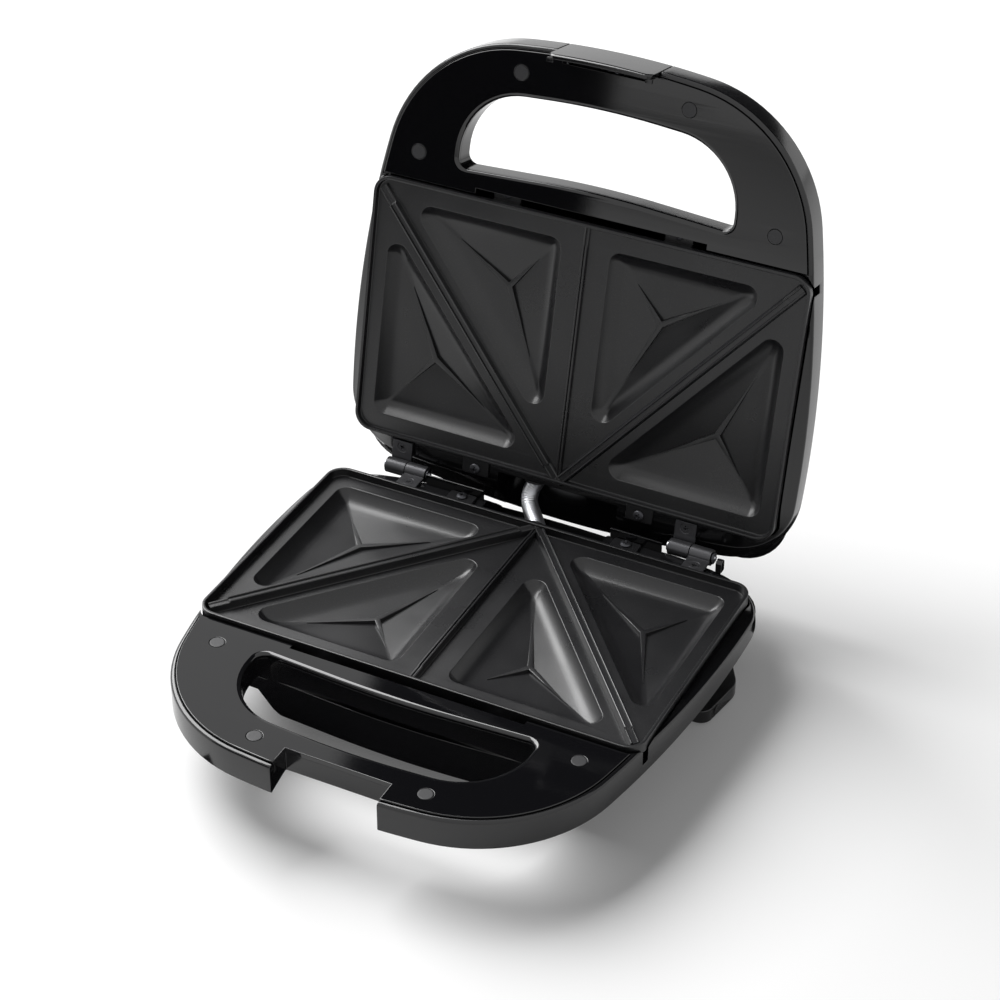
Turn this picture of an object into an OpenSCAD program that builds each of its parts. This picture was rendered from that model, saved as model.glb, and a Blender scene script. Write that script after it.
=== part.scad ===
// Countertop sandwich toaster with a hinged lid, drawn with the lid open.
// The origin lies on the table under the middle of the open toaster, X to the right, Y to the hinges.
// Both halves are drawn below their parting plane; the lid's half is then mirrored and turned open.

/* [Cooking plates] */
// Width of each plate
plate_w = 224; // [205:1:240]
// Depth of each plate, front to back
plate_d = 131.7; // [122:0.1:145]
// Corner radius of each plate
plate_r = 9; // [5:1:12]
// Thickness of the cast metal
plate_wall = 1.8; // [1.4:0.1:2.2]
// Width of the raised rim round a plate
rim_w = 1.6; // [1.2:0.1:2.4]
// Drop from the rim to the land of the base plate
base_land = 4.2; // [3:0.1:5]
// Drop from the rim to the land of the lid plate
lid_land = 2.6; // [2:0.1:4]
// Gap between the rims of the closed plates
rim_gap = 0.3; // [0.2:0.1:0.6]
// Drop of a sandwich pocket's leaning wall below the land
pocket_wall = 4.5; // [3:0.1:5.5]
// How far the wall of a pocket leans in
pocket_lean = 4; // [3:0.1:4.5]
// Depth of a pocket's lowest point below the land
pocket_low = 8; // [6.5:0.1:9]
// Corner radius of a pocket
pocket_r = 6; // [4:0.5:8]
// Land between the centre divider and a front pocket
pocket_side = 12.4; // [10:0.1:15]
// Land between a front pocket and the front edge
pocket_front = 10.7; // [9:0.1:14]
// Land between an outer pocket and the side edge
pocket_outer = 9; // [8:0.1:12]
// Land between an outer pocket and the rear edge
pocket_rear = 9.7; // [9:0.1:12]
// Distance from the middle of a diagonal ridge to the pockets beside it
ridge_gap = 7.5; // [6:0.1:9]
// Width of a diagonal ridge at its foot
ridge_foot = 5.7; // [5:0.1:7]
// Width of a diagonal ridge at its top
ridge_top = 4; // [2.5:0.1:4.5]
// Width of the centre divider
divider_w = 2; // [1.5:0.1:3]

/* [Casing] */
// Casing beyond the plates at each side
side_border = 6.8; // [6:0.1:9]
// Length of the handle zone in front of the plates
handle_len = 78.3; // [72:0.1:90]
// Wall thickness of the casings
shell_wall = 2.4; // [2:0.1:3]
// Radius of the slightly bowed sides
side_R = 554; // [450:1:800]
// Radius of the front corners
corner_R = 71; // [60:1:78]
// Radius of the bowed front
front_R = 422; // [340:1:600]
// Drop from the parting plane to the casing's edge
edge_drop = 3; // [2.5:0.1:4]
// Height of the upright outer wall
wall_h = 15; // [13:0.1:18]
// Depth of the rear deck behind the plates
deck_d = 9.9; // [9.6:0.1:10]
// Height of the feet and the cord legs
foot_h = 8; // [7:0.5:12]
// Depth of a casing's body below its parting plane
body_d = 38; // [36:0.5:40]
// Running clearance between separate pieces
gap = 0.3; // [0.2:0.05:0.4]

/* [Handle] */
// Drop from the parting plane to the handle cover
cover_drop = 2.2; // [1.8:0.1:2.4]
// Thickness of the handle cover
cover_t = 2.4; // [2:0.1:3]
// Half the width of the finger hole
hole_half = 70; // [60:1:74]
// Distance from the plates to the finger hole
hole_back = 11.3; // [10:0.1:14]
// Depth of the finger hole at its ends
hole_len = 38.5; // [34:0.1:42]
// Radius of the finger hole's front corners
hole_R = 33; // [20:1:36]
// Diameter of the screw plugs
plug_dia = 7; // [6:0.1:8]
// Half the width of the slot between the plate and the handle cover
slot_half = 59; // [50:1:65]

/* [Latch] */
// Width of the latch notch
notch_w = 52; // [44:1:60]
// Depth of the latch notch behind the front
notch_d = 14; // [13:0.1:15]
// How far the clip reaches past the parting plane
clip_reach = 8; // [7:0.1:10]
// Drop from the parting plane to the clip's pin
clip_pin_drop = 11; // [10:0.1:12]
// Radius of the clip's pin
clip_pin_r = 1.3; // [1:0.1:1.5]

/* [Hinges] */
// Distance from the plates' rear edge to the hinge axis
hinge_back = 13.96; // [13.8:0.01:14.5]
// Drop from the parting plane to the hinge axis
hinge_drop = 1.86; // [1.5:0.01:2]
// How far the lid stands open
open_deg = 102.6; // [90:0.1:103]
// Outer radius of a hinge knuckle
knuckle_r = 4; // [3.2:0.1:4]
// Width of a hinge knuckle
knuckle_w = 11; // [9:0.5:12]
// Radius of a hinge pin
hinge_pin_r = 1.6; // [1.2:0.1:2]
// Middle of the right hinge
hinge_right = 74; // [70:1:80]
// Middle of the left hinge
hinge_left = -79; // [-84:1:-76]

/* [Heating] */
// Radius of the tubular heater
heater_r = 3.25; // [3:0.05:3.6]
// Half the width of the heater loop
heater_half = 72; // [60:1:80]
// Radius of the wiring conduit
conduit_r = 3.85; // [3:0.05:4.2]

/* [Hidden] */
$fn = 48;

// The origin is under the middle of the open toaster, the plates' middle lies a little in front of it
plates_y = -3.545;
// Height of the parting plane above the table
part_h = body_d + foot_h;
// Limits of the plates and places worked out from them
plate_rear = plates_y + plate_d / 2;
plate_front = plates_y - plate_d / 2;
half_w = plate_w / 2 + side_border;
tip_y = plate_front - handle_len;
hinge_y = plate_rear + hinge_back;
wall_foot = edge_drop + wall_h;
cover_foot = cover_drop + cover_t;

// ---------- plane outlines ----------
function unit(v) = v / norm(v);
// An arc of n steps that rounds the corner b between a and c
function corner_arc(a, b, c, r, n) =
    let (u = unit(a - b), v = unit(c - b), h = acos(u * v) / 2,
         o = b + unit(u + v) * r / sin(h), p = b + u * r / tan(h), q = b + v * r / tan(h),
         a0 = atan2(p.y - o.y, p.x - o.x), a1 = atan2(q.y - o.y, q.x - o.x),
         turn = (a1 - a0 + 540) % 360 - 180)
    [for (i = [0:n]) o + r * [cos(a0 + turn * i / n), sin(a0 + turn * i / n)]];
// A polygon with every corner rounded, r is one radius or one for each corner
function rounded(p, r, n = 6) =
    let (k = len(p))
    [for (i = [0:k - 1])
        each corner_arc(p[(i + k - 1) % k], p[i], p[(i + 1) % k], is_list(r) ? r[i] : r, n)];
function box_outline(x0, x1, y0, y1, r, n = 6) = rounded([[x0, y0], [x1, y0], [x1, y1], [x0, y1]], r, n);
// The right-hand meeting point of two circles, seen from the first centre
function circles_meet(c0, r0, c1, r1, side) =
    let (d = norm(c1 - c0), a = (r0 * r0 - r1 * r1 + d * d) / (2 * d),
         h = sqrt(r0 * r0 - a * a), u = (c1 - c0) / d)
    c0 + u * a + side * h * [-u.y, u.x];
function arc(c, r, a0, a1, n) =
    [for (i = [0:n]) c + r * [cos(a0 + (a1 - a0) * i / n), sin(a0 + (a1 - a0) * i / n)]];
function angle_to(from, to) = atan2(to.y - from.y, to.x - from.x);

// The casing's D outline, drawn inset, with its rear edge at rear_y bowed to rear_R
side_mid = plate_rear - 40;
function casing_outline(inset, rear_y, rear_R, rear_corner) =
    let (sc = [half_w - side_R, side_mid], fc = [0, tip_y + front_R], rc = [0, rear_y - rear_R],
         cf = circles_meet(sc, side_R - corner_R, fc, front_R - corner_R, -1),
         cr = circles_meet(sc, side_R - rear_corner, rc, rear_R - rear_corner, 1),
         af = angle_to(fc, cf), as0 = angle_to(sc, cf), as1 = angle_to(sc, cr), ar = angle_to(rc, cr),
         right = concat(arc(fc, front_R - inset, -90, af, 4), arc(cf, corner_R - inset, af, as0, 9),
             arc(sc, side_R - inset, as0, as1, 6), arc(cr, rear_corner - inset, as1, ar, 7),
             arc(rc, rear_R - inset, ar, 90, 3)),
         k = len(right))
    concat([for (i = [0:k - 1]) right[i]], [for (i = [k - 2:-1:1]) [-right[i].x, right[i].y]]);
// The rear edge is straight at the deck, bowed and more rounded further down
deck_R = 4000;
deck_corner_R = 28;
bow_R = 588;
bow_corner_R = 40;
bow_y = plate_rear + 26;
function deck_outline(inset) = casing_outline(inset, plate_rear + deck_d, deck_R, deck_corner_R);
function bowed_outline(inset) = casing_outline(inset, bow_y, bow_R, bow_corner_R);
// A polygon drawn inset, corner by corner
function moved_in(p, d) = let (k = len(p)) [for (i = [0:k - 1])
    let (u = p[i] - p[(i + k - 1) % k], v = p[(i + 1) % k] - p[i],
         a = [-u.y, u.x] / norm(u), b = [-v.y, v.x] / norm(v), n = (a + b) / norm(a + b))
    p[i] + n * d / (n * a)];

// A solid skinned over rings of equally many points, listed from the top down as [points, height]
module skin(rings) {
    n = len(rings[0][0]);
    last = len(rings) - 1;
    points = [for (r = rings) each [for (p = r[0]) [p.x, p.y, r[1]]]];
    faces = concat([[for (i = [n - 1:-1:0]) i]], [[for (i = [0:n - 1]) last * n + i]],
        [for (k = [0:last - 1]) each [for (i = [0:n - 1])
            each [[k * n + i, k * n + (i + 1) % n, (k + 1) * n + (i + 1) % n],
                [k * n + i, (k + 1) * n + (i + 1) % n, (k + 1) * n + i]]]]);
    polyhedron(points, faces);
}
// A slab of a plane outline between two heights
module slab(z_low, z_high) {
    translate([0, 0, z_low]) linear_extrude(z_high - z_low) children();
}
module both_sides() {
    children();
    mirror([1, 0, 0]) children();
}
// Places for the two halves
module in_base() { translate([0, 0, part_h]) children(); }
module in_lid() {
    translate([0, hinge_y, part_h - hinge_drop]) rotate([-open_deg, 0, 0])
        translate([0, -hinge_y, hinge_drop]) mirror([0, 0, 1]) children();
}

// ---------- cooking plates ----------
// Each diagonal ridge runs from the middle of the rear edge towards a front corner
ridge_end = [plate_w / 2 - 4, plate_front + 5.7];
ridge_start = [0, plate_rear];
along = unit(ridge_end - ridge_start);
across = [-along.y, along.x];
// Crossing of the line at distance off from the ridge's middle with an upright or level line
function off_at_y(y, off) = (off - across.y * (y - plate_rear)) / across.x;
function off_at_x(x, off) = plate_rear + (off - across.x * x) / across.y;
// Pocket outlines, grown outwards by g
function front_pocket(g) =
    let (x0 = pocket_side - g, y0 = plate_front + pocket_front - g, off = -ridge_gap + g)
    [[x0, y0], [off_at_y(y0, off), y0], [x0, off_at_x(x0, off)]];
function outer_pocket(g) =
    let (x1 = plate_w / 2 - pocket_outer + g, y1 = plate_rear - pocket_rear + g, off = ridge_gap - g)
    [[x1, off_at_x(x1, off)], [x1, y1], [off_at_y(y1, off), y1]];
function middle(p) = (p[0] + p[1] + p[2]) / 3;
// The hollow of a pocket: leaning walls, then facets that fall to its lowest point
module pocket(corners, radius, top, edge, low_wall, low_point) {
    edge_ring = rounded(corners, radius, 5);
    ring = rounded(moved_in(corners, pocket_lean), radius - pocket_lean, 5);
    n = len(ring);
    tip = middle(corners);
    skin([[edge_ring, -top], [edge_ring, -edge], [ring, -low_wall]]);
    polyhedron(concat([for (p = ring) [p.x, p.y, -low_wall + 0.01]], [[tip.x, tip.y, -low_point]]),
        concat([[for (i = [n - 1:-1:0]) i]], [for (i = [0:n - 1]) [i, (i + 1) % n, n]]));
}
module pockets(land, g, top) {
    both_sides() for (corners = [front_pocket(g), outer_pocket(g)])
        pocket(corners, pocket_r + g, top, land + g, land + pocket_wall + g, land + pocket_low + g);
}
// Tabs behind the rear rim and in the front slot take the plate's screws
tab_x = 44;
tab_half = 7;
rear_tab_y = plate_rear + 5;
front_tab_y = plate_front - 3.4;
tab_t = 1.4;
rear_tab_len = deck_d - 0.7;
deck_top = edge_drop;
screw_r = 1.6;
front_tab_drop = 7.4;
stud_in = [64, 22];
stud_y = [plate_rear - stud_in[0], plate_front + stud_in[1]];
stud_r = 3.2;
module plate(land) {
    foot = land + plate_wall;
    difference() {
        union() {
            slab(-foot, -rim_gap / 2)
                polygon(box_outline(-plate_w / 2, plate_w / 2, plate_front, plate_rear, plate_r));
            pockets(land, plate_wall, land);
            both_sides() {
                slab(-deck_top, -deck_top + tab_t)
                    translate([tab_x - tab_half, plate_rear - 1]) square([2 * tab_half, rear_tab_len]);
                slab(-front_tab_drop, -front_tab_drop + tab_t)
                    translate([tab_x - tab_half, plate_front - 6.4]) square([2 * tab_half, 8]);
                slab(-front_tab_drop, -land) translate([tab_x - tab_half, plate_front])
                    square([2 * tab_half, tab_t]);
            }
            for (y = stud_y)
                translate([0, y, -reflector_drop]) cylinder(h = reflector_drop - land, r = stud_r);
        }
        // the well inside the rim, with the ridges and the divider left standing
        difference() {
            slab(-land, 1) polygon(box_outline(-plate_w / 2 + rim_w, plate_w / 2 - rim_w,
                plate_front + rim_w, plate_rear - rim_w, plate_r - rim_w));
            both_sides() ridge(land);
            slab(-land - 1, -rim_gap / 2 - 1) translate([-divider_w / 2, plate_front])
                square([divider_w, plate_d]);
        }
        pockets(land, 0, -1);
        both_sides() {
            translate([tab_x, rear_tab_y, -deck_top - 1]) cylinder(h = 3 * tab_t, r = screw_r + 0.3);
            translate([tab_x, front_tab_y, -front_tab_drop - 1])
                cylinder(h = 3 * tab_t, r = screw_r + 0.3);
        }
    }
}
// A ridge of trapezoid section, lower at its two ends
ridge_len = norm(ridge_end - ridge_start);
module ridge(land) {
    translate([ridge_start.x, ridge_start.y, 0])
        rotate([0, 0, atan2(along.y, along.x)]) rotate([90, 0, 90]) {
            linear_extrude(ridge_len + 1)
                polygon([[-ridge_foot / 2, -land - 1], [ridge_foot / 2, -land - 1],
                    [ridge_top / 2 + 0.4, -rim_gap / 2 - 1], [-ridge_top / 2 - 0.4, -rim_gap / 2 - 1]]);
            translate([0, 0, 10]) linear_extrude(ridge_len - 20)
                polygon([[-ridge_foot / 2, -land - 1], [ridge_foot / 2, -land - 1],
                    [ridge_top / 2, -rim_gap / 2], [-ridge_top / 2, -rim_gap / 2]]);
        }
}

// ---------- heating under a plate ----------
heater_in = [30, 34];
heater_y = [plate_front + heater_in[0], plate_rear - heater_in[1]];
heater_bend = 14;
// The heater lies just under the pockets' lowest points, on the reflector
function heater_drop(land) = land + pocket_low + plate_wall + gap + heater_r;
reflector_drop = base_land + pocket_low + plate_wall + 2 * gap + 2 * heater_r;
reflector_t = 0.8;
lead_x = 10;
lead_len = 13;
module tube_bend(x, y, turn) {
    translate([x, y, 0]) rotate([0, 0, turn]) rotate_extrude(angle = 90)
        translate([heater_bend, 0]) circle(r = heater_r);
}
module tube_run(x, y, len, dir) {
    translate([x, y, 0]) rotate([0, 90, dir]) cylinder(h = len, r = heater_r);
}
module heater(drop) {
    side_run = heater_y[1] - heater_y[0] - 2 * heater_bend;
    front_run = 2 * (heater_half - heater_bend);
    rear_run = heater_half - heater_bend - lead_x - heater_bend;
    translate([0, 0, -drop]) {
        tube_run(-front_run / 2, heater_y[0], front_run, 0);
        both_sides() {
            tube_bend(heater_half - heater_bend, heater_y[0] + heater_bend, -90);
            tube_run(heater_half, heater_y[0] + heater_bend, side_run, 90);
            tube_bend(heater_half - heater_bend, heater_y[1] - heater_bend, 0);
            tube_run(lead_x + heater_bend, heater_y[1], rear_run, 0);
            tube_bend(lead_x + heater_bend, heater_y[1] + heater_bend, 180);
            tube_run(lead_x, heater_y[1] + heater_bend, lead_len - heater_r, 90);
        }
    }
}
bead_len = 5;
module heater_beads(drop) {
    both_sides() translate([lead_x, heater_y[1] + heater_bend + lead_len - heater_r + gap / 2, -drop])
        rotate([-90, 0, 0]) {
            cylinder(h = bead_len, r = heater_r + 0.5);
            cylinder(h = bead_len + 4, r = 1.2);
        }
}
module reflector(drop) {
    half = plate_w / 2 - 18;
    difference() {
        slab(-drop - reflector_t, -drop)
            polygon(box_outline(-half, half, plate_front + 10, plate_rear - 9, 14));
        for (y = stud_y) translate([0, y, -drop - 2]) cylinder(h = 3, r = screw_r + 0.1);
        slab(-drop - 2, -drop + 1) translate([-lead_x - 8, plate_rear - 13]) square([2 * lead_x + 16, 8]);
    }
}

// ---------- casing halves ----------
big = 60;
// Pairs are the top and the foot of the tub; the base's tub has a nose up to the finger hole
tub_half = [plate_w / 2 + 2, plate_w / 2 - 14];
tub_front = [plate_front - 3, plate_front + 4];
tub_rear = [plate_rear + 19, plate_rear + 8];
tub_r = 24;
tub_top = wall_foot - 1;
nose_front = plate_front - hole_back - 0.4;
nose_half = [80, 61.5];
nose_side = [plate_front + 20, plate_front + 13.5];
nose_bow = 4;
// The tub below the plates, inset by the wall for its hollow
module tub(inset, low, nose = false) {
    function corners(i) = [[-tub_half[i], tub_rear[i]], [-tub_half[i], nose_side[i]],
        [-nose_half[i], nose_front], [0, nose_front - nose_bow], [nose_half[i], nose_front],
        [tub_half[i], nose_side[i]], [tub_half[i], tub_rear[i]]];
    function ring(i) = nose
        ? rounded(moved_in(corners(i), inset), [for (r = [tub_r, 30, 8, 500, 8, 30, tub_r]) r - inset], 7)
        : box_outline(-tub_half[i] + inset, tub_half[i] - inset, tub_front[i] + inset,
            tub_rear[i] - inset, tub_r - inset, 7);
    skin([[ring(0), -tub_top], [ring(1), -body_d + low]]);
}
// The D-shaped upper body: upright wall and slanted rear; its underside rises inwards in the handle
// and falls inwards behind the split
slope_in = 12;
slope_drop = 7;
handle_rise = 3.3;
rear_foot = edge_drop + 13;
module dish_of(inset, low, drop) {
    top = inset > 0 ? -edge_drop + 4 : -edge_drop;
    skin(concat(inset > 0 ? [[deck_outline(inset), top]] : [],
        [[deck_outline(inset), -edge_drop], [bowed_outline(inset), -rear_foot],
        [bowed_outline(inset), -wall_foot + low / 2],
        [bowed_outline(inset + slope_in), -wall_foot - drop + low]]));
}
module dish(inset, low, split) {
    module before(y) { translate([-big * 3, y - big * 3, -big]) cube([big * 6, big * 3, big * 2]); }
    intersection() { dish_of(inset, low, -handle_rise); before(split + inset); }
    difference() { dish_of(inset, low, slope_drop); before(split + inset); }
}
function finger_outline(g) =
    let (b = plate_front - hole_back + g, f = b - hole_len - g * 2, h = hole_half + g)
    rounded([[-h, b], [0, b - 4], [h, b], [h, f], [0, f - 5], [-h, f]],
        [5 + g, 500, 5 + g, hole_R + g, 400, hole_R + g], 6);
module finger_hole(g, z_low, z_high) { slab(z_low, z_high) polygon(finger_outline(g)); }
plug_at = [[hole_half + 20.7, plate_front - 14.8], [tab_x - 2, tip_y + 15]];
boss_r = plug_dia / 2 + 1.6;
pin_y = tip_y + 7;
module notch(g, z_low, z_high) {
    slab(z_low, z_high) translate([-notch_w / 2 - g, tip_y - 5]) square([notch_w + 2 * g, notch_d + 5 + g]);
}
// The pit in the rear deck that the conduit crosses
pit_half = 32;
pit_front = plate_rear + 4;
pit_foot = 16.5;
module conduit_pit(g) {
    slab(-pit_foot - g, 1) translate([-pit_half - g, pit_front - g]) square([2 * (pit_half + g), 40]);
}
conduit_x = [-3, -14];
conduit_drop = 9.5;
// The casing stays clear of the plate all round, also where its side wall runs in under the rim
module plate_seat(land) {
    half = plate_w / 2 + plate_clear;
    slab(-land - plate_wall - gap, 1)
        polygon(box_outline(-half, half, plate_front - plate_clear, plate_rear + plate_clear, plate_r));
}
plate_clear = 0.6;
pillar_at = [[tab_x, rear_tab_y], [tab_x, front_tab_y]];
pillar_r = 4.5;
tab_screw_len = 6;
// Where the deep part of each half begins
base_split = nose_front;
lid_split = plate_front - 6.3;
// What both halves share, with the hollow and every opening made
module half_shell(land, split, nose) {
    difference() {
        union() {
            difference() {
                union() { dish(0, 0, split); tub(0, 0, nose); }
                difference() {
                    union() { dish(shell_wall, shell_wall, split); tub(shell_wall, shell_wall, nose); }
                    conduit_pit(shell_wall);
                }
            }
            // border round the plate, at the sides and behind it
            slab(-edge_drop - 7, -edge_drop) difference() {
                polygon(deck_outline(0));
                polygon(box_outline(-plate_w / 2 - plate_clear, plate_w / 2 + plate_clear,
                    plate_front - plate_clear, plate_rear + plate_clear, plate_r));
                translate([-big * 3, tip_y - 1]) square([big * 6, handle_len + 1]);
            }
            intersection() {
                union() { dish(0, 0, split); tub(0, 0, nose); }
                union() {
                    finger_hole(shell_wall, -big, -cover_foot);
                    notch(shell_wall, -big, -cover_foot);
                    both_sides() {
                        for (p = plug_at)
                            translate([p.x, p.y, -big]) cylinder(h = big - cover_foot, r = boss_r);
                        translate([tab_x, rear_tab_y, -big])
                            cylinder(h = big - edge_drop, r = pillar_r);
                        translate([tab_x, front_tab_y, -big])
                            cylinder(h = big - front_tab_drop, r = pillar_r);
                    }
                }
            }
        }
        finger_hole(0, -big, 1);
        notch(0, -big, 1);
        conduit_pit(0);
        plate_seat(land);
        both_sides() {
            for (p = plug_at) translate([p.x, p.y, -cover_foot - 9]) cylinder(h = 10, r = screw_r);
            for (p = pillar_at) translate([p.x, p.y, -front_tab_drop - tab_screw_len])
                cylinder(h = tab_screw_len + 1, r = screw_r);
            translate([tab_x, rear_tab_y, -front_tab_drop]) cylinder(h = 12, r = screw_r);
        }
        shoulders();
    }
}
// The border beside the plate falls away outwards and to the rear
shoulder_fall = 4;
module shoulders() {
    fall = atan2(shoulder_fall, plate_d);
    both_sides() translate([plate_w / 2 + plate_clear, plate_front - plate_clear, -edge_drop])
        rotate([-fall, 0, 0]) cube([side_border + 4, plate_d - 8, 8]);
}
module conduit_hole(x) {
    translate([x, pit_front - 8, -conduit_drop]) rotate([-90, 0, 0]) cylinder(h = 12, r = conduit_r + 1.2);
}
// Lugs at the clip's sides swing in round grooves of the base notch, which hold the lid down
lug_drop = clip_reach - 1.2;
lug_h = 2;
lug_out = 0.9;
lug_y = [tip_y + 1, tip_y + 4.6];
lug_R = norm([pin_y - (lug_y[0] + lug_y[1]) / 2, clip_pin_drop + lug_drop]);
// A ring about the clip's pin, grown by g; up is the pin's height over the parting plane
module lug_ring(x, w, g, up) {
    translate([x, pin_y, up]) rotate([0, 90, 0]) difference() {
        cylinder(h = w, r = lug_R + lug_h / 2 + g);
        translate([0, 0, -1]) cylinder(h = w + 2, r = lug_R - lug_h / 2 - g);
    }
}
module lug_grooves() {
    depth = lug_out + 1.3;
    both_sides() intersection() {
        lug_ring(notch_w / 2 - 1, depth, gap, clip_pin_drop);
        translate([notch_w / 2 - 2, tip_y - 5, -big]) cube([depth + 2, lug_y[1] + gap - tip_y + 5, big]);
    }
}
cover_half = [60, 34];
cover_mid = plates_y + 2;
case_screw = [cover_half[0] - 6, cover_half[1] - 6];
leg_at = [plate_w / 2 - 19, plate_rear - 31.5];
foot_at = [72, plate_front + 21];
foot_r = 8;
gland_x = -40;
gland_drop = 30;
gland_r = 6.5;
ear_x = hinge_right + knuckle_w + 4;
ear_y = hinge_y - 4;
ear_r = 2.2;
ear_t = 3;
ear_top = -0.6;
rib_h = 3.2;
rib_t = 1.35;
module base_shell() {
    color("#141416") in_base() difference() {
        union() {
            half_shell(base_land, base_split, true);
            intersection() {
                tub(0, 0, true);
                both_sides() for (s = [1, -1])
                    translate([case_screw.x, cover_mid + s * case_screw.y, -body_d])
                        cylinder(h = 12, r = 4.5);
            }
            // hooked ear beside the right hinge
            translate([ear_x, 0, 0]) {
                translate([0, ear_y - ear_r, -edge_drop - 2])
                    cube([ear_t, 2 * ear_r, ear_top + edge_drop + 2]);
                translate([0, ear_y, ear_top]) rotate([0, 90, 0]) cylinder(h = ear_t, r = ear_r);
            }
            // ribs along the deck's rear edge, from the pit to the hinges
            slab(-edge_drop - 1, -edge_drop + rib_h) intersection() {
                polygon(deck_outline(0));
                union() for (x = [[hinge_left + knuckle_w + 2, -pit_half - 2],
                                  [pit_half + 2, hinge_right - knuckle_w - 2]])
                    translate([x[0], plate_rear + deck_d - rib_t]) square([x[1] - x[0], rib_t + 1]);
            }
        }
        lug_grooves();
        conduit_hole(conduit_x[0]);
        slab(-body_d - 1, -body_d + 1.2) polygon(box_outline(-cover_half[0] - gap, cover_half[0] + gap,
            cover_mid - cover_half[1] - gap, cover_mid + cover_half[1] + gap, 6));
        slab(-body_d - 1, -body_d + 6) polygon(box_outline(-cover_half[0] + 12, cover_half[0] - 12,
            cover_mid - cover_half[1] + 12, cover_mid + cover_half[1] - 12, 6));
        both_sides() {
            for (s = [1, -1]) translate([case_screw.x, cover_mid + s * case_screw.y, -body_d - 1])
                cylinder(h = 10, r = screw_r);
            translate([leg_screw.x, leg_screw.y, -body_d - 1]) cylinder(h = 8, r = screw_r);
            translate([foot_at.x, foot_at.y, -body_d - 1]) cylinder(h = 8, r = 2.5);
        }
        translate([gland_x, tub_rear[1] - 8, -gland_drop]) rotate([-90, 0, 0])
            cylinder(h = 30, r = gland_r - 1.5);
        hinge_screw_holes();
        // coves under the knuckles
        for (m = hinge_mid) translate([m - knuckle_w - gap, hinge_y, -hinge_drop]) rotate([0, 90, 0])
            cylinder(h = 2 * (knuckle_w + gap), r = knuckle_r + gap);
    }
}
vent = [3, 36];
vent_step = 12;
module base_bottom_cover() {
    color("#1b1b1d") in_base() difference() {
        slab(-body_d - 0.8, -body_d + 1.2 - gap / 3) polygon(box_outline(-cover_half[0], cover_half[0],
            cover_mid - cover_half[1], cover_mid + cover_half[1], 6));
        both_sides() for (s = [1, -1])
            translate([case_screw.x, cover_mid + s * case_screw.y, -body_d - 2])
                cylinder(h = 5, r = screw_r + 0.3);
        for (x = [-3.5:3.5])
            slab(-body_d - 2, -body_d + 2) translate([vent_step * x - vent[0] / 2, cover_mid - vent[1] / 2])
                square(vent);
    }
}
screw_len = 9;
module screw(head_r, head_h, len) {
    translate([0, 0, -len]) cylinder(h = len + 0.1, r = screw_r - 0.1);
    difference() {
        cylinder(h = head_h, r = head_r);
        for (a = [0, 90]) rotate([0, 0, a]) translate([-head_r * 0.6, -0.35, head_h - 0.7])
            cube([head_r * 1.2, 0.7, 1]);
    }
}
module bottom_cover_screws() {
    color("#a8a8ac") in_base() both_sides() for (s = [1, -1])
        translate([case_screw.x, cover_mid + s * case_screw.y, -body_d - 0.85])
            rotate([180, 0, 0]) screw(3, 1.6, screw_len);
}

// ---------- handle covers ----------
module handle_cover_plate(deep_notch) {
    difference() {
        slab(-cover_foot + 0.05, -cover_drop) difference() {
            polygon(deck_outline(shell_wall + gap));
            translate([-big * 3, plate_front - plate_clear - gap]) square([big * 6, plate_d * 2]);
            translate([-slot_half, plate_front - 3.6]) square([2 * slot_half, 10]);
            polygon(finger_outline(0));
            if (deep_notch) translate([-notch_w / 2, tip_y - 5]) square([notch_w, notch_d + 5]);
            else translate([-notch_w / 2 + 4, tip_y - 5]) square([notch_w - 8, 5 + 6.4]);
        }
        both_sides() for (p = plug_at) translate([p.x, p.y, 0]) {
            translate([0, 0, -cover_drop - 1.2]) cylinder(h = 5, r = plug_dia / 2 + 0.05);
            translate([0, 0, -cover_foot - 1]) cylinder(h = 5, r = screw_r + 0.2);
        }
    }
}
module screw_plugs() {
    both_sides() for (p = plug_at) translate([p.x, p.y, -cover_drop - 0.55])
        cylinder(h = 0.65, r = plug_dia / 2);
}
module handle_screws() {
    both_sides() for (p = plug_at) translate([p.x, p.y, -cover_drop - 1.15]) screw(2.9, 0.5, screw_len);
}
module base_handle_cover() { color("#0b0b0d") in_base() handle_cover_plate(true); }
module base_screw_plugs() { color("#3a3a3e") in_base() screw_plugs(); }
module base_handle_screws() { color("#a8a8ac") in_base() handle_screws(); }

module base_plate() { color("#2c2c2f") in_base() plate(base_land); }
module base_heater() { color("#77777c") in_base() heater(heater_drop(base_land)); }
module base_heater_beads() { color("#e8e4da") in_base() heater_beads(heater_drop(base_land)); }
module base_reflector() { color("#b9bcc0") in_base() reflector(reflector_drop); }
module plate_screws() {
    both_sides() {
        translate([tab_x, rear_tab_y, -deck_top + tab_t]) screw(2.7, 1.3, screw_len);
        translate([tab_x, front_tab_y, -front_tab_drop + tab_t]) screw(2.2, 1.3, tab_screw_len);
    }
}
module base_plate_screws() { color("#8c8c90") in_base() plate_screws(); }

// ---------- feet and cord storage ----------
leg_top = body_d + 0.05;
pad_t = 0.8;
module front_feet() {
    color("#232325") both_sides() {
        translate([foot_at.x, foot_at.y, 0])
            cylinder(h = part_h - body_d - 0.05, r1 = foot_r - 1.2, r2 = foot_r);
        translate([foot_at.x, foot_at.y, 2]) cylinder(h = part_h - body_d + 2, r = 2.4);
    }
}
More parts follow.
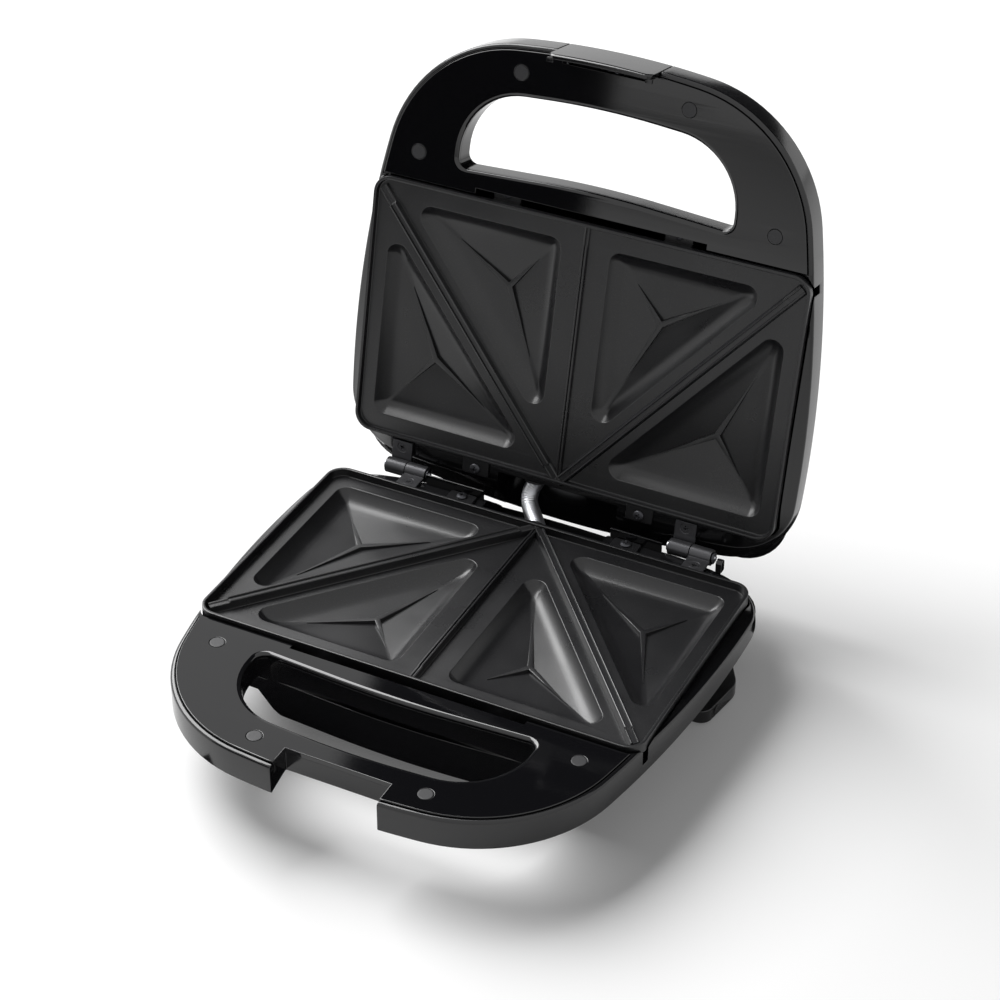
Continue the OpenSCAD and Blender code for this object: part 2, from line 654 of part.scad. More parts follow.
// A leg with a wide lip: the cord is wound over the lips, under the tub
leg_corners = [[-19, -23], [19, -21], [23, 6], [13, 23], [-19, 23]];
leg_radii = [4, 6, 12, 8, 4];
leg_screw = leg_at - [9, 0];
leg_sink = 4;
leg_sink_r = 3.2;
module cord_wrap_legs() {
    color("#18181a") in_base() both_sides() difference() {
        slab(-part_h + pad_t, -leg_top) polygon(rounded([for (c = leg_corners) leg_at + c], leg_radii));
        translate([leg_screw.x, leg_screw.y, -part_h - 1]) cylinder(h = foot_h + 2, r = screw_r + 0.3);
        translate([leg_screw.x, leg_screw.y, -part_h - 1]) cylinder(h = leg_sink + 1, r = leg_sink_r);
    }
}
module leg_screws() {
    color("#a8a8ac") in_base() both_sides() translate([leg_screw.x, leg_screw.y, -part_h + leg_sink - 0.05])
        rotate([180, 0, 0]) screw(leg_sink_r - 0.3, 1.6, foot_h + 1);
}
pad_x = [1, 16];
pad_y = [-15, 14];
pad_r = 4;
module rear_foot_pads() {
    color("#2a2a2c") both_sides() slab(0, pad_t - 0.02) translate(leg_at)
        polygon(box_outline(pad_x[0], pad_x[1], pad_y[0], pad_y[1], pad_r));
}
module cord_gland() {
    wall_y = tub_rear[1] + (tub_rear[0] - tub_rear[1]) * (body_d - gland_drop) / (body_d - tub_top);
    color("#1a1a1c") in_base() translate([gland_x, wall_y, -gland_drop]) rotate([-90, 0, 0]) difference() {
        union() {
            translate([0, 0, -8]) cylinder(h = 10, r = gland_r - 1.55);
            translate([0, 0, 4]) cylinder(h = 2, r = gland_r);
            translate([0, 0, 4]) cylinder(h = 13, r1 = gland_r - 0.8, r2 = 4.4);
            cylinder(h = 5, r = gland_r - 1.55);
        }
        translate([0, 0, -9]) cylinder(h = 30, r = 3.2);
    }
}
block = [34, 14, 11];
block_x = -20;
module terminal_block() {
    color("#d9d4c4") in_base() difference() {
        translate([block_x - block.x / 2, plate_rear - 24, -body_d + shell_wall + 0.05]) cube(block);
        for (i = [-1:1]) translate([block_x + 11 * i, plate_rear - 17, -body_d + shell_wall + 5])
            cylinder(h = 10, r = 2.2);
    }
}

// ---------- hinges ----------
hinge_mid = [hinge_left, hinge_right];
leaf_t = 1.5;
leaf_y0 = plate_rear + 1.4;
hinge_screw_y = plate_rear + 4.6;
knuckle_gap = 0.2;
bore_r = hinge_pin_r + 0.06;
hinge_screw_len = 6;
module knuckle(x0, x1, axis_z) {
    translate([x0, hinge_y, axis_z]) rotate([0, 90, 0]) cylinder(h = x1 - x0, r = knuckle_r);
}
module leaf(x0, x1, axis_z, reach) {
    difference() {
        union() {
            knuckle(x0, x1, axis_z);
            slab(-edge_drop + 0.02, -edge_drop + leaf_t) translate([x0, leaf_y0]) square([x1 - x0, reach]);
        }
        translate([x0 - 1, hinge_y, axis_z]) rotate([0, 90, 0]) cylinder(h = x1 - x0 + 2, r = bore_r);
        translate([(x0 + x1) / 2, hinge_screw_y, -edge_drop - 1]) cylinder(h = 4, r = screw_r + 0.2);
    }
}
module hinge_screw_holes() {
    for (m = hinge_mid) translate([m + knuckle_w / 2, hinge_screw_y, -edge_drop - 6])
        cylinder(h = 8, r = screw_r);
}
module lid_hinge_screw_holes() {
    for (m = hinge_mid) translate([m - knuckle_w / 2, hinge_screw_y, -edge_drop - 6])
        cylinder(h = 8, r = screw_r);
}
module hinge_base_leaves() {
    color("#4a4a4e") in_base() for (m = hinge_mid)
        leaf(m + knuckle_gap, m + knuckle_w, -hinge_drop, hinge_y - leaf_y0 - hinge_pin_r - 1.4);
}
module hinge_lid_leaves() {
    color("#4a4a4e") in_lid() for (m = hinge_mid)
        leaf(m - knuckle_w, m - knuckle_gap, hinge_drop, hinge_y - leaf_y0 - 0.6);
}
module hinge_base_screws() {
    color("#8c8c90") in_base() for (m = hinge_mid)
        translate([m + knuckle_w / 2, hinge_screw_y, -edge_drop + leaf_t + 0.05])
            screw(2.4, 1.1, hinge_screw_len);
}
module hinge_lid_screws() {
    color("#8c8c90") in_lid() for (m = hinge_mid)
        translate([m - knuckle_w / 2, hinge_screw_y, -edge_drop + leaf_t + 0.05])
            screw(2.4, 1.1, hinge_screw_len);
}
pin_over = 2.6;
clip_t = 0.8;
module hinge_pins() {
    color("#8f8f94") translate([0, hinge_y, part_h - hinge_drop]) rotate([0, 90, 0])
        for (m = hinge_mid) {
            translate([0, 0, m - knuckle_w - gap - 1]) cylinder(h = 1, r = hinge_pin_r + 1);
            translate([0, 0, m - knuckle_w - gap - 0.5])
                cylinder(h = 2 * knuckle_w + pin_over, r = hinge_pin_r);
        }
}
module hinge_pin_clips() {
    color("#5c5c60") translate([0, hinge_y, part_h - hinge_drop]) rotate([0, 90, 0]) for (m = hinge_mid)
        translate([0, 0, m + knuckle_w + gap]) difference() {
            cylinder(h = clip_t, r = hinge_pin_r + 1.4);
            translate([0, 0, -1]) cylinder(h = 3, r = hinge_pin_r + 0.03);
        }
}

// ---------- wiring conduit ----------
collar_len = 3.4;
module conduit_collar(x) {
    translate([x, pit_front - shell_wall - 0.8, -conduit_drop]) rotate([-90, 0, 0]) difference() {
        union() {
            cylinder(h = collar_len + 1, r = conduit_r + 1.1);
            translate([0, 0, shell_wall + 0.85]) cylinder(h = 1.4, r = conduit_r + 2.4);
        }
        translate([0, 0, -1]) cylinder(h = collar_len + 4, r = conduit_r + 0.05);
    }
}
module base_conduit_collar() { color("#1c1c1e") in_base() conduit_collar(conduit_x[0]); }
module lid_conduit_collar() { color("#1c1c1e") in_lid() conduit_collar(conduit_x[1]); }
// The lid's own point [y, drop] in the open pose
function opened(x, y, drop) =
    let (v = y - hinge_y, w = drop + hinge_drop)
    [x, hinge_y + v * cos(open_deg) + w * sin(open_deg),
        -hinge_drop - v * sin(open_deg) + w * cos(open_deg)];
function bezier(p, t) =
    let (s = 1 - t) s * s * s * p[0] + 3 * s * s * t * p[1] + 3 * s * t * t * p[2] + t * t * t * p[3];
// It runs straight through each collar and bends freely between them
conduit_pull = 8;
conduit_lead = 2.2;
conduit_tail = 3.8;
conduit_path =
    let (b = [conduit_x[0], pit_front + conduit_lead, -conduit_drop],
         l = opened(conduit_x[1], pit_front + conduit_lead, conduit_drop),
         up = unit(opened(0, 0, 0) - opened(0, 1, 0)))
    concat([b - [0, conduit_lead + conduit_tail, 0]],
        [for (i = [0:12]) bezier([b, b + [0, conduit_pull, 0], l - conduit_pull * up, l], i / 12)],
        [l + (conduit_lead + conduit_tail) * up]);
module wiring_conduit() {
    n = 12;
    k = len(conduit_path);
    function heading(i) = unit(conduit_path[min(i + 1, k - 1)] - conduit_path[max(i - 1, 0)]);
    function ring(i) = let (t = heading(i), u = unit(cross(t, [1, 0, 0])), v = cross(t, u))
        [for (a = [0:n - 1]) conduit_path[i] + conduit_r * (cos(360 * a / n) * u + sin(360 * a / n) * v)];
    points = [for (i = [0:k - 1]) each ring(i)];
    faces = concat([[for (a = [0:n - 1]) a]], [[for (a = [n - 1:-1:0]) (k - 1) * n + a]],
        [for (i = [0:k - 2]) each [for (a = [0:n - 1])
            each [[i * n + a, (i + 1) * n + a, (i + 1) * n + (a + 1) % n],
                [i * n + a, (i + 1) * n + (a + 1) % n, i * n + (a + 1) % n]]]]);
    color("#c9c9cc") in_base() polyhedron(points, faces);
}

// ---------- lid ----------
lamp_x = 10;
lamp_y = plate_front + 26;
lens_r = 4.5;
module lid_shell() {
    color("#121214") in_lid() difference() {
        half_shell(lid_land, lid_split, false);
        conduit_hole(conduit_x[1]);
        both_sides() translate([lamp_x, lamp_y, -body_d - 1]) cylinder(h = 8, r = lens_r - 0.9);
        translate([-notch_w / 2 - 1.6, pin_y, -clip_pin_drop]) rotate([0, 90, 0])
            cylinder(h = notch_w + 3.2, r = clip_pin_r + 0.03);
        lid_hinge_screw_holes();
    }
}
module lid_handle_cover() { color("#0b0b0d") in_lid() handle_cover_plate(false); }
module lid_plate() { color("#2c2c2f") in_lid() plate(lid_land); }
module lid_heater() { color("#77777c") in_lid() heater(heater_drop(base_land)); }
module lid_heater_beads() { color("#e8e4da") in_lid() heater_beads(heater_drop(base_land)); }
module lid_reflector() { color("#b9bcc0") in_lid() reflector(reflector_drop); }
module lid_plate_screws() { color("#8c8c90") in_lid() plate_screws(); }
module lid_screw_plugs() { color("#3a3a3e") in_lid() screw_plugs(); }
module lid_handle_screws() { color("#a8a8ac") in_lid() handle_screws(); }
thermostat_r = 8.5;
thermostat_h = 8;
thermostat_in = 46;
bracket = [24, 6, 0.8];
module thermostat() {
    color("#cfc9b8") in_lid() translate([0, plate_front + thermostat_in, -lid_land - plate_wall - 0.05]) {
        translate([0, 0, -thermostat_h]) cylinder(h = thermostat_h, r = thermostat_r);
        translate([-bracket.x / 2, -bracket.y / 2, -thermostat_h + 2]) cube(bracket);
    }
}
module thermal_fuse() {
    color("#b08a3c") in_lid() translate([0, plate_rear - 30, -reflector_drop - reflector_t - 2.05]) {
        translate([-7, 0, 0]) rotate([0, 90, 0]) cylinder(h = 14, r = 2);
        translate([-16, 0, 0]) rotate([0, 90, 0]) cylinder(h = 32, r = 0.6);
    }
}
module lamp_lenses() {
    color("#b02a22") in_lid() both_sides() translate([lamp_x, lamp_y, -body_d]) difference() {
        union() {
            translate([0, 0, -1.2]) cylinder(h = 1.15, r = lens_r);
            cylinder(h = 7, r = lens_r - 0.95);
            translate([0, 0, -0.1]) cylinder(h = 0.2, r = lens_r - 0.95);
        }
        translate([0, 0, 1]) cylinder(h = 8, r = 2.6);
    }
}
module indicator_lamps() {
    color("#e5b78a") in_lid() both_sides() translate([lamp_x, lamp_y, -body_d + 1.1]) {
        cylinder(h = 8, r = 2.5);
        translate([0, 0, 7.9]) cylinder(h = 6, r = 0.8);
    }
}

// ---------- latch ----------
clip_half = notch_w / 2 - 0.5;
barrel_r = 3;
barrel_x = [6, 20];
module latch_clip() {
    color("#161618") in_lid() difference() {
        union() {
            slab(-wall_foot, clip_reach) intersection() {
                difference() { polygon(deck_outline(0)); polygon(deck_outline(shell_wall)); }
                translate([-clip_half, tip_y - 1]) square([2 * clip_half, 12]);
            }
            // thumb pad over the notch
            slab(-wall_foot - 1.5, -wall_foot + 1) intersection() {
                polygon(deck_outline(0));
                translate([-clip_half, tip_y - 1]) square([2 * clip_half, 9.6]);
            }
            both_sides() {
                translate([barrel_x[0], pin_y, -clip_pin_drop]) rotate([0, 90, 0])
                    cylinder(h = barrel_x[1] - barrel_x[0], r = barrel_r);
                translate([barrel_x[0], tip_y + 1.5, -clip_pin_drop - 1.2])
                    cube([barrel_x[1] - barrel_x[0], 5, 2.4]);
                intersection() {
                    lug_ring(clip_half - 2, 2 + lug_out, 0, -clip_pin_drop);
                    translate([0, lug_y[0], 0]) cube([notch_w, lug_y[1] - lug_y[0], clip_reach]);
                }
            }
        }
        translate([-barrel_x[1] - 1, pin_y, -clip_pin_drop]) rotate([0, 90, 0])
            cylinder(h = 2 * barrel_x[1] + 2, r = clip_pin_r + 0.06);
    }
}
module latch_pin() {
    color("#9a9a9e") in_lid() translate([-notch_w / 2 - 1.5, pin_y, -clip_pin_drop]) rotate([0, 90, 0])
        cylinder(h = notch_w + 3, r = clip_pin_r);
}
spring_wire = 0.45;
spring_turns = 6;
module latch_spring() {
    color("#b4b4b8") in_lid() translate([-spring_turns * spring_wire, pin_y, -clip_pin_drop])
        rotate([0, 90, 0]) for (i = [0:spring_turns - 1])
            translate([0, 0, (2 * i + 1) * spring_wire - 0.01 * i]) rotate_extrude()
                translate([clip_pin_r + spring_wire + 0.15, 0]) circle(r = spring_wire, $fn = 16);
}

base_shell();
base_bottom_cover();
base_handle_cover();
base_plate();
base_heater();
base_heater_beads();
base_reflector();
base_plate_screws();
base_screw_plugs();
base_handle_screws();
bottom_cover_screws();
front_feet();
cord_wrap_legs();
leg_screws();
rear_foot_pads();
cord_gland();
hinge_base_leaves();
hinge_base_screws();
hinge_pins();
hinge_pin_clips();
terminal_block();
base_conduit_collar();
wiring_conduit();
lid_shell();
lid_handle_cover();
lid_plate();
lid_heater();
lid_heater_beads();
lid_reflector();
lid_plate_screws();
lid_screw_plugs();
lid_handle_screws();
hinge_lid_leaves();
hinge_lid_screws();
lid_conduit_collar();
thermostat();
thermal_fuse();
indicator_lamps();
lamp_lenses();
latch_pin();
latch_spring();
latch_clip();
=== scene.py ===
import math

import bmesh
import bpy
from mathutils import Matrix, Vector, geometry


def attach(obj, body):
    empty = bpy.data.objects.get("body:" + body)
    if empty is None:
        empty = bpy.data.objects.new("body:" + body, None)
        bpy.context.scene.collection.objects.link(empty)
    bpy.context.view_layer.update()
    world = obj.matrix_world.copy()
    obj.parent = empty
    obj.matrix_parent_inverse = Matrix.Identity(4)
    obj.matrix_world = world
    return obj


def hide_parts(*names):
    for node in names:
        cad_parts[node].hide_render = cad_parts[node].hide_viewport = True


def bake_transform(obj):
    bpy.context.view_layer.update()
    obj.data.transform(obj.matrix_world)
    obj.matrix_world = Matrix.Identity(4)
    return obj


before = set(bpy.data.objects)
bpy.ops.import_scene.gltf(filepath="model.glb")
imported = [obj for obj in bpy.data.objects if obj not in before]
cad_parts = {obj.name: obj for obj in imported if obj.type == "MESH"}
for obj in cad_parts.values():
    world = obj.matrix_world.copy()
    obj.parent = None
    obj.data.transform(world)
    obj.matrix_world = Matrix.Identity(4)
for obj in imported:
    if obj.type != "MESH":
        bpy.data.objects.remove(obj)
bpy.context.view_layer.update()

# ---------------------------------------------------------------------------------------------
# Camera. It looks down on the open toaster from in front and a little from the right, through a
# long lens, so the base, the plates and the inside of the raised lid are all in view.
mm = 0.001
camera_at = Vector((442.6, -866.8, 785.5)) * mm
camera_azimuth, camera_elevation, camera_roll = map(math.radians, (26.50, 35.21, 0.21))
camera_data = bpy.data.cameras.new("camera")
camera_data.sensor_width = 36
camera_data.lens = 94.75
camera = bpy.data.objects.new("camera", camera_data)
back = Vector((math.sin(camera_azimuth) * math.cos(camera_elevation),
               -math.cos(camera_azimuth) * math.cos(camera_elevation), math.sin(camera_elevation)))
level = Vector((math.cos(camera_azimuth), math.sin(camera_azimuth), 0))
upright = back.cross(level)
right = level * math.cos(camera_roll) + upright * math.sin(camera_roll)
up = upright * math.cos(camera_roll) - level * math.sin(camera_roll)
camera.matrix_world = Matrix.Translation(camera_at) @ Matrix((right, up, back)).transposed().to_4x4()
bpy.context.collection.objects.link(camera)
scene = bpy.context.scene
scene.camera = camera
scene.view_settings.view_transform = "Standard"

# ---------------------------------------------------------------------------------------------
# Studio. A pale matt floor and an even white surround, and a large soft box high on the left that
# throws the shadow to the right.


def makers(tree):
    """Short ways to add a node to a tree and to link two sockets."""
    def new(kind, **inputs):
        """A node with its inputs set by name; an underscore stands for a space."""
        node = tree.nodes.new(kind)
        for socket, value in inputs.items():
            node.inputs[socket.replace("_", " ")].default_value = value
        return node
    return new, tree.links.new


def node_tree(owner):
    """The owner's emptied node tree, with its makers."""
    owner.use_nodes = True
    tree = owner.node_tree
    tree.nodes.clear()
    return (tree, *makers(tree))


def seen_rays(tree, new, link):
    """1 for the rays that show a surface: seen directly, mirrored, or through glass."""
    path = new("ShaderNodeLightPath")
    total = path.outputs["Is Camera Ray"]
    for name in ("Is Glossy Ray", "Is Transmission Ray"):
        add = new("ShaderNodeMath")
        add.operation = "MAXIMUM"
        link(total, add.inputs[0])
        link(path.outputs[name], add.inputs[1])
        total = add.outputs[0]
    return total


world = bpy.data.worlds.new("surround")
scene.world = world
tree, new, link = node_tree(world)
white = (1, 1, 1, 1)
lit_strength, seen_strength = 0.16, 1.0
mix = new("ShaderNodeMixShader")
link(seen_rays(tree, new, link), mix.inputs["Fac"])
for target, strength in ((1, lit_strength), (2, seen_strength)):
    link(new("ShaderNodeBackground", Color=white, Strength=strength).outputs[0], mix.inputs[target])
link(mix.outputs[0], new("ShaderNodeOutputWorld").inputs["Surface"])

floor_half, floor_z = 4.0, -0.0004
floor_mesh = bpy.data.meshes.new("floor")
floor_mesh.from_pydata([(-floor_half, -floor_half, floor_z), (floor_half, -floor_half, floor_z),
                        (floor_half, floor_half, floor_z), (-floor_half, floor_half, floor_z)],
                       [], [(0, 1, 2, 3)])
floor = bpy.data.objects.new("floor", floor_mesh)
bpy.context.collection.objects.link(floor)
floor_paint = bpy.data.materials.new("floor_paint")
tree, new, link = node_tree(floor_paint)
matt = new("ShaderNodeBsdfDiffuse", Color=(0.86, 0.86, 0.86, 1))
glow = new("ShaderNodeEmission", Color=white)
floor_glow = 0.10
scale = new("ShaderNodeMath")
scale.operation = "MULTIPLY"
scale.inputs[1].default_value = floor_glow
link(seen_rays(tree, new, link), scale.inputs[0])
link(scale.outputs[0], glow.inputs["Strength"])
lit_and_glowing = new("ShaderNodeAddShader")
link(matt.outputs[0], lit_and_glowing.inputs[0])
link(glow.outputs[0], lit_and_glowing.inputs[1])
link(lit_and_glowing.outputs[0], new("ShaderNodeOutputMaterial").inputs["Surface"])
floor_mesh.materials.append(floor_paint)


def soft_box(name, at, aim, width, depth, watts):
    """A rectangular area lamp at a place, turned to its aim."""
    data = bpy.data.lights.new(name, "AREA")
    data.shape = "RECTANGLE"
    data.size = width
    data.size_y = depth
    data.energy = watts
    lamp = bpy.data.objects.new(name, data)
    turn = (Vector(aim) - Vector(at)).to_track_quat("-Z", "Y")
    lamp.matrix_world = Matrix.Translation(at) @ turn.to_matrix().to_4x4()
    bpy.context.collection.objects.link(lamp)


def flag(name, at, aim, width, height):
    """A black card that only mirror images show; it darkens what the gloss reflects from its side."""
    data = bpy.data.meshes.new(name)
    turn = (Vector(aim) - Vector(at)).to_track_quat("-Z", "Y").to_matrix()
    x, y = width / 2, height / 2
    corners = [Vector((-x, -y, 0)), Vector((x, -y, 0)), Vector((x, y, 0)), Vector((-x, y, 0))]
    data.from_pydata([Vector(at) + turn @ corner for corner in corners], [], [(0, 1, 2, 3)])
    card = bpy.data.objects.new(name, data)
    bpy.context.collection.objects.link(card)
    card.visible_camera = False
    card.visible_diffuse = False
    card.visible_shadow = False
    card.visible_transmission = False
    black = bpy.data.materials.new(name + "_cloth")
    tree, new, link = node_tree(black)
    cloth = new("ShaderNodeBsdfDiffuse", Color=(0.004, 0.004, 0.004, 1))
    link(cloth.outputs[0], new("ShaderNodeOutputMaterial").inputs["Surface"])
    data.materials.append(black)


middle = (0, 0, 0.08)
soft_box("key", (-2.62, 0.90, 2.85), middle, 3.1, 3.1, 262)
flag("rear_flag", (0.12, 1.30, 1.05), (0, 0, 0.04), 1.75, 1.5)
flag("front_flag", (-0.558, -0.762, 0.24), (-0.045, -0.024, 0.2), 0.42, 0.60)
# Two black cards lie on the floor, one under the handle and one behind the base under the raised lid. They
# are painted shade, seen only in reflections, standing in for the floor's shadow where the glossy casing and
# tub mirror it.
flag("under_flag", (0.0, -0.112, 0.002), (0.0, -0.112, 0.5), 0.19, 0.085)
flag("low_flag", (0.0, 0.2125, 0.002), (0.0, 0.2125, 0.5), 0.26, 0.255)

# ---------------------------------------------------------------------------------------------
# Casings. Base and lid are the same D-shaped moulding in glossy black plastic: an upright wall
# with a rounded edge, an underside that runs in to a tub, a finger hole and a notch for the latch.
# Each half is drawn face up below its parting plane, and the lid's half is mirrored and opened.
plate_w, plate_d, plate_r, plate_y = 224, 131.7, 9, -3.545
plate_rear, plate_front = plate_y + plate_d / 2, plate_y - plate_d / 2
half_w = plate_w / 2 + 6.8
tip_y = plate_front - 78.3
part_h, body_d = 46, 38
hinge_y, hinge_drop, open_deg = plate_rear + 13.96, 1.86, 102.6
wall, gap = 2.4, 0.3
plate_clear = 0.6
cover_drop, cover_foot = 2.2, 4.6
bottom_y, bottom_half_w, bottom_half_d = plate_y + 2, 60, 34
conduit_x, conduit_drop = {"base": -3, "lid": -14}, 9.5

in_base = Matrix.Translation((0, 0, part_h))
in_lid = (Matrix.Translation((0, hinge_y, part_h - hinge_drop))
          @ Matrix.Rotation(math.radians(-open_deg), 4, "X")
          @ Matrix.Translation((0, -hinge_y, hinge_drop)) @ Matrix.Scale(-1, 4, (0, 0, 1)))
halves = {"base": in_base, "lid": in_lid}


def arc(centre, radius, start, end, steps):
    """Points on an arc from one angle to another, in degrees."""
    turns = [math.radians(start + (end - start) * i / steps) for i in range(steps + 1)]
    return [Vector((centre[0] + radius * math.cos(t), centre[1] + radius * math.sin(t))) for t in turns]


def circle(centre, radius, sides=36):
    return arc(centre, radius, 0, 360 - 360 / sides, sides - 1)


def circles_meet(c0, r0, c1, r1, side):
    """The point where two circles cross, on one side of the line between their centres."""
    d = (c1 - c0).length
    a = (r0 * r0 - r1 * r1 + d * d) / (2 * d)
    u = (c1 - c0) / d
    return c0 + u * a + side * math.sqrt(r0 * r0 - a * a) * Vector((-u.y, u.x))


def angle_to(a, b):
    """The direction from one point to another, in degrees."""
    return math.degrees(math.atan2(b.y - a.y, b.x - a.x))


side_R, corner_R, front_R = 554, 71, 422
deck = (plate_rear + 9.9, 4000, 28)  # rear edge, its bow, radius of the rear corners
bow = (plate_rear + 26, 588, 40)


def casing_outline(inset, rear=deck):
    """The casing's D outline drawn inset, closed behind by the deck's or the bowed rear edge."""
    edge, rear_R, rear_corner = rear
    sc, fc = Vector((half_w - side_R, plate_rear - 40)), Vector((0, tip_y + front_R))
    rc = Vector((0, edge - rear_R))
    cf = circles_meet(sc, side_R - corner_R, fc, front_R - corner_R, -1)
    cr = circles_meet(sc, side_R - rear_corner, rc, rear_R - rear_corner, 1)
    half = (arc(fc, front_R - inset, -90, angle_to(fc, cf), 8)
            + arc(cf, corner_R - inset, angle_to(fc, cf), angle_to(sc, cf), 20)[1:]
            + arc(sc, side_R - inset, angle_to(sc, cf), angle_to(sc, cr), 22)[1:]
            + arc(cr, rear_corner - inset, angle_to(sc, cr), angle_to(rc, cr), 16)[1:]
            + arc(rc, rear_R - inset, angle_to(rc, cr), 90, 8)[1:])
    return half + [Vector((-p.x, p.y)) for p in half[-2:0:-1]]


def rounded(corners, radii, steps=8):
    """A polygon with its corners rounded; radii is one radius or one for each corner."""
    ring = []
    for i, b in enumerate(corners):
        a, b, c = Vector(corners[i - 1]), Vector(b), Vector(corners[(i + 1) % len(corners)])
        r = radii[i] if isinstance(radii, (list, tuple)) else radii
        u, v = (a - b).normalized(), (c - b).normalized()
        half = u.angle(v) / 2
        o = b + (u + v).normalized() * r / math.sin(half)
        start = angle_to(o, b + u * r / math.tan(half))
        end = angle_to(o, b + v * r / math.tan(half))
        ring += arc(o, r, start, start + (end - start + 540) % 360 - 180, steps)
    return ring


def moved(ring, distance):
    """An outline moved inwards by a small distance, corner by corner."""
    count = len(ring)
    area = sum(p.x * q.y - q.x * p.y for p, q in zip(ring, ring[1:] + ring[:1]))
    side = 1 if area > 0 else -1
    out = []
    for i, p in enumerate(ring):
        u, v = (p - ring[i - 1]).normalized(), (ring[(i + 1) % count] - p).normalized()
        n = Vector((-u.y - v.y, u.x + v.x)) * side
        n.normalize()
        out.append(p + n * distance / max(0.5, math.sqrt((1 + u.dot(v)) / 2)))
    return out


def box_outline(x0, x1, y0, y1, r, steps=8):
    """A rectangle with rounded corners."""
    return rounded([(x0, y0), (x1, y0), (x1, y1), (x0, y1)], r, steps)


def finger_outline(grow):
    """The finger hole, grown outwards."""
    b, f, h = plate_front - 11.3 + grow, plate_front - 49.8 - grow, 70 + grow
    return rounded([(-h, b), (0, b - 4), (h, b), (h, f), (0, f - 5), (-h, f)],
                   [5 + grow, 500, 5 + grow, 33 + grow, 400, 33 + grow], 14)


def notch_outline(grow):
    """The latch's notch, open to the front and grown outwards."""
    x, y = 26 + grow, tip_y + 14 + grow
    return [Vector(p) for p in ((-x, tip_y - 5), (x, tip_y - 5), (x, y), (-x, y))]


def at_height(ring, z):
    return [Vector((p[0], p[1], z)) for p in ring]


def kept_front(ring, limit):
    """The part of an outline in front of a level line."""
    kept = []
    for p, q in zip(ring, ring[1:] + ring[:1]):
        if p.y <= limit:
            kept.append(p)
        if (p.y - limit) * (q.y - limit) < 0:
            kept.append(p.lerp(q, (limit - p.y) / (q.y - p.y)))
    return kept


def loft(rings):
    """A closed solid through rings of equally many points, with a flat face at each end."""
    n = len(rings[0])
    mesh = bmesh.new()
    rows = [[mesh.verts.new(p) for p in ring] for ring in rings]
    mesh.faces.new(rows[0])
    mesh.faces.new(rows[-1])
    for a, b in zip(rows, rows[1:]):
        for i in range(n):
            mesh.faces.new((a[i], a[(i + 1) % n], b[(i + 1) % n], b[i]))
    bmesh.ops.recalc_face_normals(mesh, faces=mesh.faces)
    return mesh


def prism(ring, low, high):
    return loft([at_height(ring, low), at_height(ring, high)])


def as_object(mesh, name):
    """A linked object that takes over a finished mesh."""
    data = bpy.data.meshes.new(name)
    mesh.to_mesh(data)
    mesh.free()
    thing = bpy.data.objects.new(name, data)
    bpy.context.collection.objects.link(thing)
    return thing


def baked(thing):
    """The object's mesh with its modifiers carried out, which then leave it."""
    graph = bpy.context.evaluated_depsgraph_get()
    data = bpy.data.meshes.new_from_object(thing.evaluated_get(graph))
    thing.modifiers.clear()
    old, thing.data = thing.data, data
    bpy.data.meshes.remove(old)
    data.name = thing.name
    return thing


def cut_up(data, sides):
    """Splits faces with more sides than this into triangles, so that none wraps round a hole."""
    mesh = bmesh.new()
    mesh.from_mesh(data)
    bmesh.ops.triangulate(mesh, faces=[face for face in mesh.faces if len(face.verts) > sides])
    mesh.to_mesh(data)
    mesh.free()


def carve(thing, tools, operation="DIFFERENCE"):
    """Cuts each tool out of the thing, or joins it on, and deletes the tools."""
    for tool in tools:
        cutter = as_object(tool, "cutter") if isinstance(tool, bmesh.types.BMesh) else tool
        modifier = thing.modifiers.new("cut", "BOOLEAN")
        modifier.operation = operation
        modifier.solver = "EXACT"
        modifier.object = cutter
        baked(thing)
        bpy.data.objects.remove(cutter)
        cut_up(thing.data, 4)
    return thing


def joined(thing, parts):
    """Sets closed parts into a thing's mesh, each sunk a little into it."""
    mesh = bmesh.new()
    mesh.from_mesh(thing.data)
    for part in parts:
        bmesh.ops.recalc_face_normals(part, faces=part.faces)
        data = bpy.data.meshes.new("part")
        part.to_mesh(data)
        part.free()
        mesh.from_mesh(data)
        bpy.data.meshes.remove(data)
    mesh.to_mesh(thing.data)
    mesh.free()
    return thing


def take_in(thing, part):
    """Moves a finished part's mesh into a thing and deletes the part."""
    mesh = bmesh.new()
    mesh.from_mesh(part.data)
    bpy.data.objects.remove(part)
    joined(thing, [mesh])


def soften(thing, width, steps=2, angle=38):
    """Rounds the sharp edges a little, as moulded or trimmed edges are."""
    mesh = bmesh.new()
    mesh.from_mesh(thing.data)
    bmesh.ops.remove_doubles(mesh, verts=mesh.verts, dist=0.01)
    bmesh.ops.dissolve_limit(mesh, angle_limit=math.radians(0.4), verts=mesh.verts, edges=mesh.edges,
                             delimit={"NORMAL"})
    mesh.to_mesh(thing.data)
    mesh.free()
    modifier = thing.modifiers.new("soft_edges", "BEVEL")
    modifier.width = width
    modifier.segments = steps
    modifier.limit_method = "ANGLE"
    modifier.angle_limit = math.radians(angle)
    modifier.use_clamp_overlap = False
    modifier.miter_outer = "MITER_ARC"
    return baked(thing)


def place(thing, where, smooth=35):
    """Puts a piece drawn in millimetres into its half, in metres, and smooths its round faces."""
    cut_up(thing.data, 4)
    mesh = bmesh.new()
    mesh.from_mesh(thing.data)
    mesh.transform(where)
    mesh.transform(Matrix.Scale(mm, 4))
    bmesh.ops.recalc_face_normals(mesh, faces=mesh.faces)
    mesh.to_mesh(thing.data)
    mesh.free()
    thing.data.shade_smooth()
    thing.data.set_sharp_from_angle(angle=math.radians(smooth))
    even = thing.modifiers.new("even_normals", "WEIGHTED_NORMAL")
    even.keep_sharp = True
    even.weight = 80
    return thing


